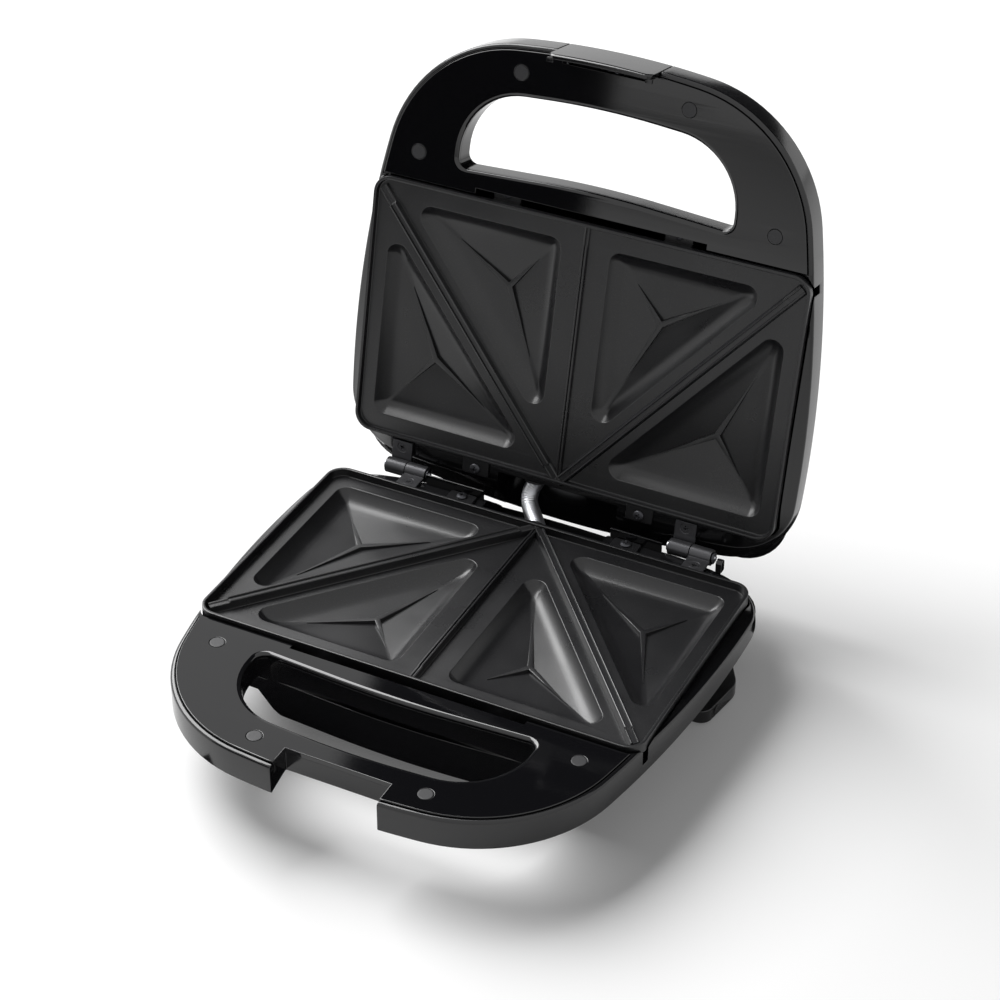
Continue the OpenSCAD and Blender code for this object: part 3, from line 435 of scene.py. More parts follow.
def fall_at(p):
    """How far the edge beside the plate has fallen: 0 at the front, 1 round the rear corner."""
    if p.y < plate_rear - 4:
        return max(0, (p.y - plate_front) / (plate_rear - 4 - plate_front))
    edge = min(1, max(0, (abs(p.x) - 70) / 42))
    return edge * edge * (3 - 2 * edge)


shoulder_fall = 4.4
upper_rows = [  # inset, height, share of the fall, share of the rear bow
    (12, -3.0, 0, 0), (7.0, -3.0, 0.10, 0), (1.7, -3.0, 1, 0), (0.9, -3.15, 1, 0.01),
    (0.3, -3.6, 1, 0.04), (0, -4.4, 1, 0.1), (0, -8, 0.75, 0.38), (0, -12, 0.3, 0.7), (0, -16, 0, 1),
    (0, -17.2, 0, 1), (0.35, -18, 0, 1)]
deep_rows = [(1.2, -18.5, 0, 1), (4, -20.2, 0, 1), (8, -22.6, 0, 1), (11.2, -24.5, 0, 1),
             (12, -25, 0, 1)]
grip_rows = [(1.2, -17.85, 0, 1), (4, -17.0, 0, 1), (8, -15.8, 0, 1), (11.2, -14.9, 0, 1),
             (12.5, -14.7, 0, 1)]
split_at = {"base": plate_front - 11.7, "lid": plate_front - 6.3}


def dish(rows, extra=0):
    """A closed body through rows of the casing's outline, whose edge falls beside the plate."""
    rings = []
    for inset, height, falls, bowed in rows:
        a, b = casing_outline(inset + extra), casing_outline(inset + extra, bow)
        ring = [p.lerp(q, bowed) for p, q in zip(a, b)]
        rings.append([Vector((p.x, p.y, height - shoulder_fall * falls * fall_at(p))) for p in ring])
    return loft(rings)


def dish_with_grip(name, deep, grip, split, extra=0):
    """The upper body: shallow and flat under the handle, deeper behind the split."""
    def block(y0, y1):
        return prism([(-200, y0), (200, y0), (200, y1), (-200, y1)], -80, 20)
    front = carve(as_object(dish(grip, extra), name + "_grip"), [block(split, 200)])
    rear = carve(as_object(dish(deep, extra), name), [block(-300, split)])
    return carve(rear, [front], "UNION")


def run_in(level_at, inset, low):
    """A tub from its outline at each share of the way down, which ends in a rounded foot."""
    foot = -body_d + low
    return loft([level_at(0, inset, -17), level_at(0.86, inset, foot + 3),
                 level_at(0.95, inset + 0.6, foot + 1), level_at(1, inset + 2, foot)])


def nose_tub(inset, low):
    """The base's tub: its front lies in the finger hole's rear wall and its front corners run back."""
    def level_at(t, shrink, z):
        side, nose, back = 114 - 16 * t, 80 - 18.5 * t, plate_rear + 19 - 11 * t
        start, front = plate_front + 20 - 6.5 * t, plate_front - 11.7
        corners = [(-side, back), (-side, start), (-nose, front), (0, front - 4), (nose, front),
                   (side, start), (side, back)]
        ring = rounded(corners, [24, 30, 8, 500, 8, 30, 24], 9)
        return at_height(moved(ring, shrink), z)
    return run_in(level_at, inset, low)


def tub(inset, low):
    """The lid's tub over its plate."""
    def level_at(t, shrink, z):
        side = (114 - 16 * t) - shrink
        front, back = plate_front - 3 + 7 * t + shrink, plate_rear + 19 - 11 * t - shrink
        return at_height(box_outline(-side, side, front, back, 24 - shrink, 10), z)
    return run_in(level_at, inset, low)


pit_front = plate_rear + 4


def conduit_pit(grow):
    """The pit behind the plate in which the wiring conduit bends, grown outwards."""
    x, y, behind = 32 + grow, pit_front - grow, plate_rear + 60
    ring = [Vector(p) for p in ((-x, y), (x, y), (x, behind), (-x, behind))]
    return prism(ring, -16.5 - grow, 6)


def across_x(ring, x0, x1):
    """A solid along X from an outline of (y, z) points."""
    return loft([[Vector((x, p[0], p[1])) for p in ring] for x in (x0, x1)])


def rib(x0, x1):
    """A low rib that stands on the deck and follows its rear edge."""
    steps = [x0 + (x1 - x0) * i / 6 for i in range(7)]
    ring = [Vector((x1, deck[0] - 1.35)), Vector((x0, deck[0] - 1.35))]
    ring += [Vector((x, deck[0] - x * x / 2 / deck[1] - 0.03)) for x in steps]
    return prism(ring, -4, 2.4)  # its foot is sunk in the deck


hinge_at, knuckle_r = (-79, 74), 4


def half_casing(body):
    """One half: the outside less a hollow that keeps the walls, then the seat, the holes and the pit."""
    split = split_at[body]
    below, over = -60, 5  # heights past the casing on either side
    under = nose_tub if body == "base" else tub
    shell = dish_with_grip(body + "_casing", upper_rows + deep_rows, upper_rows + grip_rows, split)
    carve(shell, [under(0, 0)], "UNION")
    above = [(0, -9.5, 0, 0), (0, -16, 0, 1)]
    hollow = dish_with_grip("hollow", above + [(0, -17, 0, 1), (12, -22.6, 0, 1)],
                            above + [(12, -12.3, 0, 1)], split + wall, wall)
    well = kept_front(casing_outline(wall), plate_front - plate_clear)
    carve(hollow, [under(wall, wall), prism(well, -11.9, over)], "UNION")
    carve(hollow, [prism(finger_outline(wall), below, -cover_foot),
                   prism(notch_outline(wall), below, -cover_foot), conduit_pit(wall)])
    seat = box_outline(-plate_w / 2 - plate_clear, plate_w / 2 + plate_clear,
                       plate_front - plate_clear, plate_rear + plate_clear, plate_r)
    carve(shell, [hollow, prism(seat, -12, over)])
    carve(shell, [prism(finger_outline(0), below, over)])
    carve(shell, [prism(notch_outline(0), below, over), conduit_pit(0)])
    return shell


def paint(name, colour, roughness, metallic=0.0):
    """A Principled material; returns it with its tree and shader so that detail can be added."""
    material = bpy.data.materials.new(name)
    tree, new, link = node_tree(material)
    shader = new("ShaderNodeBsdfPrincipled", Base_Color=(*colour, 1), Roughness=roughness, Metallic=metallic)
    link(shader.outputs[0], new("ShaderNodeOutputMaterial").inputs["Surface"])
    return material, tree, shader


def group(name, ins, outs):
    """An empty shader node group with named inputs (name, default) and outputs (name, kind)."""
    tree = bpy.data.node_groups.new(name, "ShaderNodeTree")
    for socket, default in ins:
        kind = "NodeSocketColor" if isinstance(default, tuple) else "NodeSocketFloat"
        tree.interface.new_socket(socket, in_out="INPUT", socket_type=kind).default_value = default
    for socket, kind in outs:
        tree.interface.new_socket(socket, in_out="OUTPUT", socket_type=kind)
    return tree, tree.nodes.new("NodeGroupInput"), tree.nodes.new("NodeGroupOutput")


def coat_with(tree, shader, shared, **values):
    """Lets a shared surface group, with its inputs set, drive a shader's colour, roughness and normal."""
    node = tree.nodes.new("ShaderNodeGroup")
    node.node_tree = shared
    for socket, value in values.items():
        node.inputs[socket.replace("_", " ")].default_value = value
    for socket, target in (("Colour", "Base Color"), ("Roughness", "Roughness"), ("Normal", "Normal")):
        tree.links.new(node.outputs[socket], shader.inputs[target])


surface_outs = [("Colour", "NodeSocketColor"), ("Roughness", "NodeSocketFloat"),
                ("Normal", "NodeSocketVector")]


def relief(tree, at, size, depth, detail, distance):
    """Noise grains of a given size, and the bump that they make."""
    new, link = makers(tree)
    frequency = new("ShaderNodeMath")
    frequency.operation = "DIVIDE"
    frequency.inputs[0].default_value = 1
    link(size, frequency.inputs[1])
    grains = new("ShaderNodeTexNoise", Detail=detail)
    link(at, grains.inputs["Vector"])
    link(frequency.outputs[0], grains.inputs["Scale"])
    bump = new("ShaderNodeBump", Distance=distance)
    link(depth, bump.inputs["Strength"])
    link(grains.outputs["Fac"], bump.inputs["Height"])
    return grains, bump


def toned(tree, blend, share, colour, tint):
    """The colour blended with a tint by a share."""
    new, link = makers(tree)
    tone = new("ShaderNodeMixRGB", Color2=(*tint, 1))
    tone.blend_type = blend
    link(share, tone.inputs["Fac"])
    link(colour, tone.inputs["Color1"])
    return tone


# Moulded plastic: a very fine grain in the surface, and faint smears that dull the gloss in places.
moulding, given, result = group(
    "moulded_surface",
    [("Colour", (0.01, 0.01, 0.01, 1)), ("Grain size", 0.0004), ("Grain depth", 0.05), ("Gloss", 0.1),
     ("Smear", 0.04)], surface_outs)
new, link = makers(moulding)
place_at = new("ShaderNodeTexCoord").outputs["Object"]
grain, bump = relief(moulding, place_at, given.outputs["Grain size"], given.outputs["Grain depth"],
                     3, 0.0002)
smears = new("ShaderNodeTexNoise", Scale=24, Detail=6, Distortion=0.6)
link(place_at, smears.inputs["Vector"])
dulled = new("ShaderNodeMapRange", From_Min=0.42, From_Max=0.75)
link(smears.outputs["Fac"], dulled.inputs["Value"])
weigh = new("ShaderNodeMath")
weigh.operation = "MULTIPLY_ADD"
link(dulled.outputs[0], weigh.inputs[0])
link(given.outputs["Smear"], weigh.inputs[1])
link(given.outputs["Gloss"], weigh.inputs[2])
tone = toned(moulding, "MULTIPLY", grain.outputs["Fac"], given.outputs["Colour"], (0.72, 0.72, 0.74))
for source, socket in ((tone, "Colour"), (weigh, "Roughness"), (bump, "Normal")):
    link(source.outputs[0], result.inputs[socket])


def plastic(name, colour, gloss, smear=0.03, grain_size=0.0005, grain_depth=0.04, ior=1.5):
    """Moulded plastic of a colour and gloss."""
    material, tree, shader = paint(name, colour, gloss)
    shader.inputs["IOR"].default_value = ior
    coat_with(tree, shader, moulding, Colour=(*colour, 1), Grain_size=grain_size,
              Grain_depth=grain_depth, Gloss=gloss, Smear=smear)
    return material


casing_black = plastic("casing_black", (0.010, 0.010, 0.011), 0.11, 0.05)
for body, where in halves.items():
    shell = half_casing(body)
    if body == "base":
        # the seat of the bottom cover, and room for the hinges' knuckles
        x, y = bottom_half_w + gap, bottom_half_d + gap
        seat = box_outline(-x, x, bottom_y - y, bottom_y + y, 6)
        carve(shell, [prism(seat, -body_d - 1, -body_d + 1.2)])
        round_eye = circle((hinge_y, -hinge_drop), knuckle_r + gap)
        carve(shell, [across_x(round_eye, x - 11.3, x + 11.3) for x in hinge_at])
        # shallow pockets in the notch's sides, into which the clip's lugs snap
        snap = [Vector((tip_y + y, z)) for y, z in ((2, -8.4), (5.2, -8.4), (5.2, -4.9), (2, -4.9))]
        carve(shell, [across_x(snap, 25, 26.9), across_x(snap, -26.9, -25)])
    # the round hole for the wiring conduit's collar
    round_hole = circle((conduit_x[body], -conduit_drop), 5.05, 24)
    bore = [[Vector((p.x, y, p.y)) for p in round_hole] for y in (plate_rear - 4, plate_rear + 8)]
    carve(shell, [loft(bore)])
    if body == "base":
        # the ribs along the deck's rear edge and the hooked ear beside the right hinge
        ear = [Vector((hinge_y - 6.2, -5)), Vector((hinge_y - 1.8, -5))]
        ear += arc((hinge_y - 4, -0.6), 2.2, 0, 180, 12)
        joined(shell, [rib(-66, -34), rib(34, 61), across_x(ear, 89, 92)])
    soften(shell, 0.35)
    place(shell, where)
    shell.data.materials.append(casing_black)
    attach(shell, body)
    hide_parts(body + "_shell")

# ---------------------------------------------------------------------------------------------
# Handle covers. A flat, very glossy black sheet lies in each handle, inside the casing's band. It
# has the finger hole's rolled rim, the slot in front of the plate and recesses for the screw plugs.
slot_half, slot_back = 59, 3.6
plug_at = [(90.7, plate_front - 14.8), (42, tip_y + 15)]
plug_r = 3.5


def sheet(outer, holes, low, high, edge, hole_edges=None):
    """A flat solid with holes, whose upper edges are rounded: edge is a list of (inset, drop)."""
    mesh = bmesh.new()

    def wall_of(ring, profile, inwards):
        rows = [at_height(moved(ring, inwards * inset), high - drop) for inset, drop in profile]
        rows.append(at_height(ring, low))
        verts = [[mesh.verts.new(p) for p in row] for row in rows]
        count = len(ring)
        for a, b in zip(verts, verts[1:]):
            for i in range(count):
                mesh.faces.new((a[i], a[(i + 1) % count], b[(i + 1) % count], b[i]))
        return verts[0], verts[-1]

    caps = [wall_of(outer, edge, 1)]
    for i, hole in enumerate(holes):
        caps.append(wall_of(hole, (hole_edges or {}).get(i, edge), -1))
    for level in (0, 1):
        rings = [cap[level] for cap in caps]
        flat = [v for ring in rings for v in ring]
        for triangle in geometry.tessellate_polygon([[v.co for v in ring] for ring in rings]):
            mesh.faces.new([flat[i] for i in triangle])
    bmesh.ops.recalc_face_normals(mesh, faces=mesh.faces)
    return mesh


def quarter(radius):
    """A quarter-round edge as (inset, drop) pairs, from the flat down to the side."""
    turns = [math.pi / 2 * i / 3 for i in range(4)]
    return [(radius * (1 - math.sin(t)), radius * (1 - math.cos(t))) for t in turns]


def cover_outline(deep):
    """The sheet's outline: the casing's front, a level rear edge with the slot, and the notch's step."""
    edge = casing_outline(wall + 0.25)
    limit = plate_front - plate_clear - gap
    front = kept_front(edge, limit)
    start = max(range(len(front)), key=lambda i: (abs(front[i].y - limit) < 0.001, front[i].x))
    ring = front[start:] + front[:start]
    if abs(ring[1].y - limit) > 0.001:
        ring = ring[1:] + ring[:1]
        ring = [ring[-1]] + ring[:-1]
    slot_y = plate_front - slot_back
    slot = [Vector((slot_half, limit)), Vector((slot_half, slot_y)),
            Vector((-slot_half, slot_y)), Vector((-slot_half, limit))]
    half, depth = (26, 14) if deep else (22, 6.4)
    outline = []
    for p, q in zip(ring, ring[1:] + ring[:1]):
        outline.append(p)
        if abs(p.y - limit) < 0.001 and abs(q.y - limit) < 0.001:
            outline += slot if p.x > q.x else slot[::-1]
    left_in, right_in = Vector((-half, tip_y + depth)), Vector((half, tip_y + depth))
    kept = [p for p in outline if abs(p.x) > half or p.y > -100]
    first = next(i for i, p in enumerate(kept) if p.y < -130 and kept[(i + 1) % len(kept)].x * p.x < 0)
    a, b = kept[first], kept[(first + 1) % len(kept)]
    left_end, right_end = [Vector((x, min((p for p in edge if p.y <= -100), key=lambda p: abs(p.x - x)).y))
                           for x in (-half, half)]
    step = [left_end, left_in, right_in, right_end]
    kept[first + 1:first + 1] = step if a.x < b.x else step[::-1]
    return kept


cover_black = plastic("cover_black", (0.006, 0.006, 0.007), 0.045, 0.02, 0.0003, 0.012, 1.55)
plug_grey = plastic("plug_grey", (0.016, 0.016, 0.018), 0.42, 0.05, 0.0006, 0.12)
for body, where in halves.items():
    holes = [finger_outline(0.02)]
    for side in (1, -1):
        holes += [circle((side * x, y), plug_r + 0.12) for x, y in plug_at]
    rim_turns = [math.pi / 2 * i / 5 for i in range(1, 6)]
    rim = {0: [(2.1, 0)] + [(2.1 - 2.1 * math.sin(t), 1.3 * (1 - math.cos(t))) for t in rim_turns]}
    cover = as_object(sheet(cover_outline(body == "base"), holes, -cover_foot + 0.05, -cover_drop,
                            quarter(0.35), rim), body + "_cover_sheet")
    place(cover, where, 40)
    cover.data.materials.append(cover_black)
    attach(cover, body)
    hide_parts(body + "_handle_cover")
    disc_side = ((plug_r - 0.3, 0.08), (plug_r - 0.08, 0.02), (plug_r, -0.12), (plug_r, -1.1))
    discs = [loft([at_height(circle((side * x, y), r), -cover_drop + z) for r, z in disc_side])
             for side in (1, -1) for x, y in plug_at]
    plugs = joined(as_object(bmesh.new(), body + "_plugs"), discs)
    place(plugs, where)
    plugs.data.materials.append(plug_grey)
    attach(plugs, body)
    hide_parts(body + "_screw_plugs")

# ---------------------------------------------------------------------------------------------
# Cooking plates. Each is one aluminium casting under a satin charcoal non-stick coat: a thin rim,
# a flat land, four triangular pockets with three-armed ribs, two diagonal ridges and the divider.
rim_w, rim_gap, plate_wall = 1.6, 0.3, 1.8
pocket_low, pocket_r = 8.0, 6.0
bowl_foot = (6.4, 5.6)  # how far in and how low a pocket's wall ends
pocket_side, pocket_front, pocket_outer, pocket_rear = 12.4, 10.7, 9.0, 9.7
ridge_gap, ridge_foot, ridge_top = 7.5, 5.7, 4.0
ridge_end, ridge_start = Vector((plate_w / 2 - 4, plate_front + 5.7)), Vector((0, plate_rear))
along = (ridge_end - ridge_start).normalized()
across = Vector((-along.y, along.x))


def pocket_corners(kind, grow):
    """Corners of the right-hand pocket of a kind, grown outwards."""
    off = -ridge_gap + grow if kind == "front" else ridge_gap - grow
    x_at = lambda y: (off - across.y * (y - plate_rear)) / across.x
    y_at = lambda x: plate_rear + (off - across.x * x) / across.y
    if kind == "front":
        x, y = pocket_side - grow, plate_front + pocket_front - grow
        return [(x, y), (x_at(y), y), (x, y_at(x))]
    x, y = plate_w / 2 - pocket_outer + grow, plate_rear - pocket_rear + grow
    return [(x, y_at(x)), (x, y), (x_at(y), y)]


def bowl_drop(share):
    """Depth of a pocket's floor below the land, from the foot of its wall (1) to its middle (0)."""
    return bowl_foot[1] + (pocket_low - bowl_foot[1]) * (1 - share) ** 0.85


def pocket_rings(kind, side, land, grow):
    """Rings of a pocket from its edge down: a crisp edge, then a bowl that flattens to the middle."""
    corners = pocket_corners(kind, 0)
    heart = Vector((sum(x for x, y in corners) / 3, sum(y for x, y in corners) / 3))
    rings = []

    def add(ring, drop):
        ring = [Vector((side * p.x, p.y)) for p in ring]
        rings.append(at_height(ring[::side], -land - grow - drop))

    lip = [(0, 0)] if grow else [(-0.3, 0), (-0.08, 0.04), (0.08, 0.16), (0.22, 0.36)]
    for inwards, drop in lip + [(0.9, 1.3), (2.0, 2.6), (3.5, 4.0), (5.0, 5.0), bowl_foot]:
        foot = rounded(pocket_corners(kind, grow - inwards), max(1.6, pocket_r + grow - inwards), 9)
        add(foot, drop)
    for i in range(1, 10):
        share = 1 - i / 9.4
        add([heart.lerp(p, share) for p in foot], bowl_drop(share))
    return rings, Vector((side * heart.x, heart.y, -land - grow - pocket_low))


def plate_skin(mesh, land, under):
    """One side of the casting: the upper skin, or the underside that follows it a wall lower."""
    x, y0, y1 = plate_w / 2, plate_front, plate_rear

    def border(inset, z, r):
        ring = box_outline(-x + inset, x - inset, y0 + inset, y1 - inset, r, 10)
        return [mesh.verts.new(p) for p in at_height(ring, z)]

    def band(a, b):
        for i in range(len(a)):
            mesh.faces.new((a[i], a[(i + 1) % len(a)], b[(i + 1) % len(b)], b[i]))

    foot = -land - plate_wall
    if under:
        rows = [border(0, -1.2, plate_r), border(0, foot + 0.5, plate_r), border(0.5, foot, plate_r - 0.4)]
    else:
        top, inner_r = -rim_gap / 2, plate_r - rim_w
        rows = [border(0, -1.2, plate_r), border(0, top - 0.35, plate_r),
                border(0.12, top - 0.1, plate_r - 0.1), border(0.4, top, plate_r - 0.3),
                border(rim_w - 0.45, top, inner_r + 0.4), border(rim_w - 0.15, top - 0.12, inner_r + 0.1),
                border(rim_w, top - 0.4, inner_r), border(rim_w + 0.1, -land + 0.6, inner_r),
                border(rim_w + 0.3, -land + 0.15, inner_r - 0.2), border(rim_w + 0.75, -land, inner_r - 0.6)]
    for a, b in zip(rows, rows[1:]):
        band(a, b)
    edges = [rows[-1]]
    for kind in ("front", "outer"):
        for side in (1, -1):
            rings, low = pocket_rings(kind, side, land, plate_wall if under else 0)
            pocket = [[mesh.verts.new(p) for p in ring] for ring in rings]
            for a, b in zip(pocket, pocket[1:]):
                band(a, b)
            bottom = mesh.verts.new(low)
            for i in range(len(pocket[-1])):
                mesh.faces.new((pocket[-1][i], pocket[-1][(i + 1) % len(pocket[-1])], bottom))
            edges.append(pocket[0])
    flat = [v for ring in edges for v in ring]
    for triangle in geometry.tessellate_polygon([[v.co for v in ring] for ring in edges]):
        mesh.faces.new([flat[i] for i in triangle])


def bar(section, rows):
    """A bar along +X from a section of (side, height) points; rows are (x, heights' and widths' scale)."""
    return loft([[Vector((x, s * wide, h if h < 0.5 else 0.5 + (h - 0.5) * tall)) for s, h in section]
                 for x, tall, wide in rows])


def ridge_bar(land, length, foot, top, height, step):
    """A ridge of trapezoid section with rounded shoulders, lower over its two ends. Z is over the land."""
    round_off = 0.45
    half = [(foot / 2, -1), (foot / 2, 0.0), (foot / 2 - 0.25, 0.35), (top / 2 + 0.12, height - round_off),
            (top / 2 - 0.1, height - 0.12), (top / 2 - round_off, height), (top / 2 - 0.75, height - 0.1),
            (top / 2 - 1.0, height - 0.8)]
    section = [(-x, z) for x, z in half] + half[::-1]
    low = (height - 0.5 - step) / (height - 0.5)
    rows = [(0.4, low, 1), (9.6, low, 1), (10.4, 1, 1), (length - 10.4, 1, 1), (length - 9.6, low, 1),
            (length - 0.4, low, 1)]
    return bar(section, rows)


def three_arm_rib(kind, side, land):
    """The rib on a pocket's floor: three flat-topped blades that run out to points in the creases."""
    corners = [Vector(c) for c in pocket_corners(kind, 0)]
    creases = [Vector(c) for c in pocket_corners(kind, -bowl_foot[0])]
    heart = (corners[0] + corners[1] + corners[2]) / 3
    parts = []
    for corner, crease in zip(corners, creases):
        length = (corner - heart).length * 0.52
        way = (crease - heart).normalized()
        flank = Vector((-way.y, way.x))
        rows = []
        for share in (-0.02, 0.2, 0.4, 0.6, 0.8, 1):
            foot = -land - bowl_drop(length * max(share, 0) / (crease - heart).length)
            half = 1.25 * (1 - share) + 0.12
            top = foot + 1.9 - 1.55 * share
            section = ((1.3, foot - 0.6), (1.0, top - 0.14), (0.8, top),
                       (-0.8, top), (-1.0, top - 0.14), (-1.3, foot - 0.6))
            rows.append([Vector((*(heart + way * length * share + flank * half * wide), z))
                         for wide, z in section])
        parts.append(loft([[Vector((side * p.x, p.y, p.z)) for p in row] for row in rows]))
    return parts


tab_x, rear_tab_y, front_tab_y = 44, plate_rear + 5, plate_front - 3.4


def plate_tabs(land):
    """The casting's tabs for its four screws, and the two studs that carry the reflector."""
    parts = []
    for side in (1, -1):
        x = side * tab_x
        for y0, y1, low, hole_y in ((plate_rear - 1, plate_rear + 8.2, -3.0, rear_tab_y),
                                    (plate_front - 6.4, plate_front + 1.6, -7.4, front_tab_y)):
            parts.append(sheet(box_outline(x - 7, x + 7, y0, y1, 1.2), [circle((x, hole_y), 1.9)],
                               low, low + 1.4, quarter(0.25)))
        stem = box_outline(x - 7, x + 7, plate_front + 0.05, plate_front + 1.35, 0.3)
        parts.append(prism(stem, -7.3, -land))
    for y in (plate_rear - 64, plate_front + 22):
        parts.append(prism(circle((0, y), 3.2), -21.0, -land - 0.3))
    return parts


# Non-stick coat: fine flecks that catch the light, and clouds of slightly different gloss.
coating, given, result = group(
    "nonstick_coat",
    [("Colour", (0.04, 0.04, 0.042, 1)), ("Fleck size", 0.0006), ("Fleck depth", 0.12), ("Gloss", 0.4)],
    surface_outs)
new, link = makers(coating)
place_at = new("ShaderNodeTexCoord").outputs["Object"]
flecks, bump = relief(coating, place_at, given.outputs["Fleck size"], given.outputs["Fleck depth"],
                      2, 0.00015)
clouds = new("ShaderNodeTexNoise", Scale=30, Detail=5)
link(place_at, clouds.inputs["Vector"])
unevenness = new("ShaderNodeMapRange", From_Min=0.35, From_Max=0.7, To_Min=-0.03, To_Max=0.05)
link(clouds.outputs["Fac"], unevenness.inputs["Value"])
weigh = new("ShaderNodeMath")
weigh.operation = "ADD"
link(unevenness.outputs[0], weigh.inputs[0])
link(given.outputs["Gloss"], weigh.inputs[1])
glint = new("ShaderNodeMapRange", From_Min=0.56, From_Max=0.72)
link(flecks.outputs["Fac"], glint.inputs["Value"])
tone = toned(coating, "ADD", glint.outputs[0], given.outputs["Colour"], (0.012, 0.012, 0.013))
for source, socket in ((tone, "Colour"), (weigh, "Roughness"), (bump, "Normal")):
    link(source.outputs[0], result.inputs[socket])

plate_coat, tree, shader = paint("plate_coat", (0.038, 0.038, 0.040), 0.42)
shader.inputs["IOR"].default_value = 1.5
coat_with(tree, shader, coating, Colour=(0.009, 0.009, 0.010, 1), Fleck_size=0.0005, Fleck_depth=0.13,
          Gloss=0.30)

for body, where in halves.items():
    land = 4.2 if body == "base" else 2.6
    skin = bmesh.new()
    plate_skin(skin, land, False)
    plate_skin(skin, land, True)
    bmesh.ops.remove_doubles(skin, verts=skin.verts, dist=0.0005)
    bmesh.ops.recalc_face_normals(skin, faces=skin.faces)
    plate = as_object(skin, body + "_grill_plate")
    height = land - rim_gap / 2
    added = []
    for side in (1, -1):
        ridge = ridge_bar(land, (ridge_end - ridge_start).length, ridge_foot, ridge_top, height, 0.9)
        turn = Matrix.Rotation(math.atan2(along.y, along.x), 4, "Z")
        ridge.transform(Matrix.Scale(side, 4, (1, 0, 0))
                        @ Matrix.Translation((ridge_start.x, ridge_start.y, -land)) @ turn)
        added.append(ridge)
        for kind in ("front", "outer"):
            added += three_arm_rib(kind, side, land)
    divider = ridge_bar(land, plate_d - 1.6, 3.4, 2.3, height - 0.8, 0.5)
    divider.transform(Matrix.Translation((0, plate_front + 0.8, -land))
                      @ Matrix.Rotation(math.pi / 2, 4, "Z"))
    added.append(divider)
    joined(plate, added + plate_tabs(land))
    place(plate, where, 32)
    plate.data.materials.append(plate_coat)
    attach(plate, body)
    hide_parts(body + "_plate")

# ---------------------------------------------------------------------------------------------
# Hinges. Two pairs of rolled steel knuckles under a satin dark coat; each leaf lies on its half's
# deck. A headed pin runs through each pair and a spring clip holds its other end.


def turned(profile, steps=36):
    """A solid of revolution round Z from (radius, height) pairs; a radius of 0 closes an end."""
    mesh = bmesh.new()
    rows = []
    for r, z in profile:
        turns = [math.tau * i / steps for i in range(steps if r > 0 else 1)]
        rows.append([mesh.verts.new((r * math.cos(t), r * math.sin(t), z)) for t in turns])
    if len(rows[0]) > 1 and len(rows[-1]) > 1:
        rows.append(rows[0])
    for a, b in zip(rows, rows[1:]):
        for i in range(steps):
            corners = [a[i % len(a)], a[(i + 1) % len(a)], b[(i + 1) % len(b)], b[i % len(b)]]
            kept = [v for k, v in enumerate(corners) if v not in corners[:k]]
            mesh.faces.new(kept)
    bmesh.ops.recalc_face_normals(mesh, faces=mesh.faces)
    return mesh


def put(mesh, turn, at):
    """The mesh turned, then moved to a place."""
    mesh.transform(Matrix.Translation(at) @ turn)
    return mesh


along_x = Matrix.Rotation(math.pi / 2, 4, "Y")
along_y = Matrix.Rotation(-math.pi / 2, 4, "X")
upright_way = Matrix.Identity(4)
leaf_start, leaf_low, leaf_high = plate_rear + 1.4, -2.98, -1.5
leaf_screw_y, pin_r = plate_rear + 4.6, 1.6


def leaf_outline(body):
    """Side view of a leaf and its knuckle, as (y, z): the strip runs into the rolled eye."""
    if body == "base":
        strip = [Vector((hinge_y - 3.84, leaf_low))]
        eye = arc((hinge_y, -hinge_drop), knuckle_r, 197, 534, 40)
    else:
        strip = [Vector((hinge_y - 0.9, leaf_low)), Vector((hinge_y - 0.1, -2.7))]
        eye = arc((hinge_y, hinge_drop), knuckle_r, -84, 237, 40)
    return [Vector((leaf_start, leaf_low))] + strip + eye + [Vector((leaf_start, leaf_high))]


hinge_steel, tree, shader = paint("hinge_steel", (0.060, 0.060, 0.064), 0.36, 0.55)
coat_with(tree, shader, moulding, Colour=(0.085, 0.085, 0.090, 1), Grain_size=0.0006, Grain_depth=0.10,
          Gloss=0.33, Smear=0.08)
# the strip turned on its side: (x, y, z) of the drawing become (y, z, x) of the hinge
to_side = Matrix(((0, 0, 1, 0), (1, 0, 0, 0), (0, 1, 0, 0), (0, 0, 0, 1)))
for body, where in halves.items():
    leaves = as_object(bmesh.new(), body + "_hinge_leaves")
    axis_z = -hinge_drop if body == "base" else hinge_drop
    for middle_x in hinge_at:
        x0, x1 = (middle_x + 0.2, middle_x + 11) if body == "base" else (middle_x - 11, middle_x - 0.2)
        bore = circle((hinge_y, axis_z), pin_r + 0.06)
        leaf = sheet(leaf_outline(body), [bore], x0, x1, [(0, 0)])
        leaf.transform(to_side)
        cone = [at_height(circle(((x0 + x1) / 2, leaf_screw_y), r, 24), z)
                for r, z in ((1.8, -3.2), (2.7, -1.4))]
        strip = carve(as_object(leaf, "leaf"), [loft(cone)])
        soften(strip, 0.16, 2, 40)
        take_in(leaves, strip)
    place(leaves, where)
    leaves.data.materials.append(hinge_steel)
    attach(leaves, body)
    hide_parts("hinge_" + body + "_leaves")


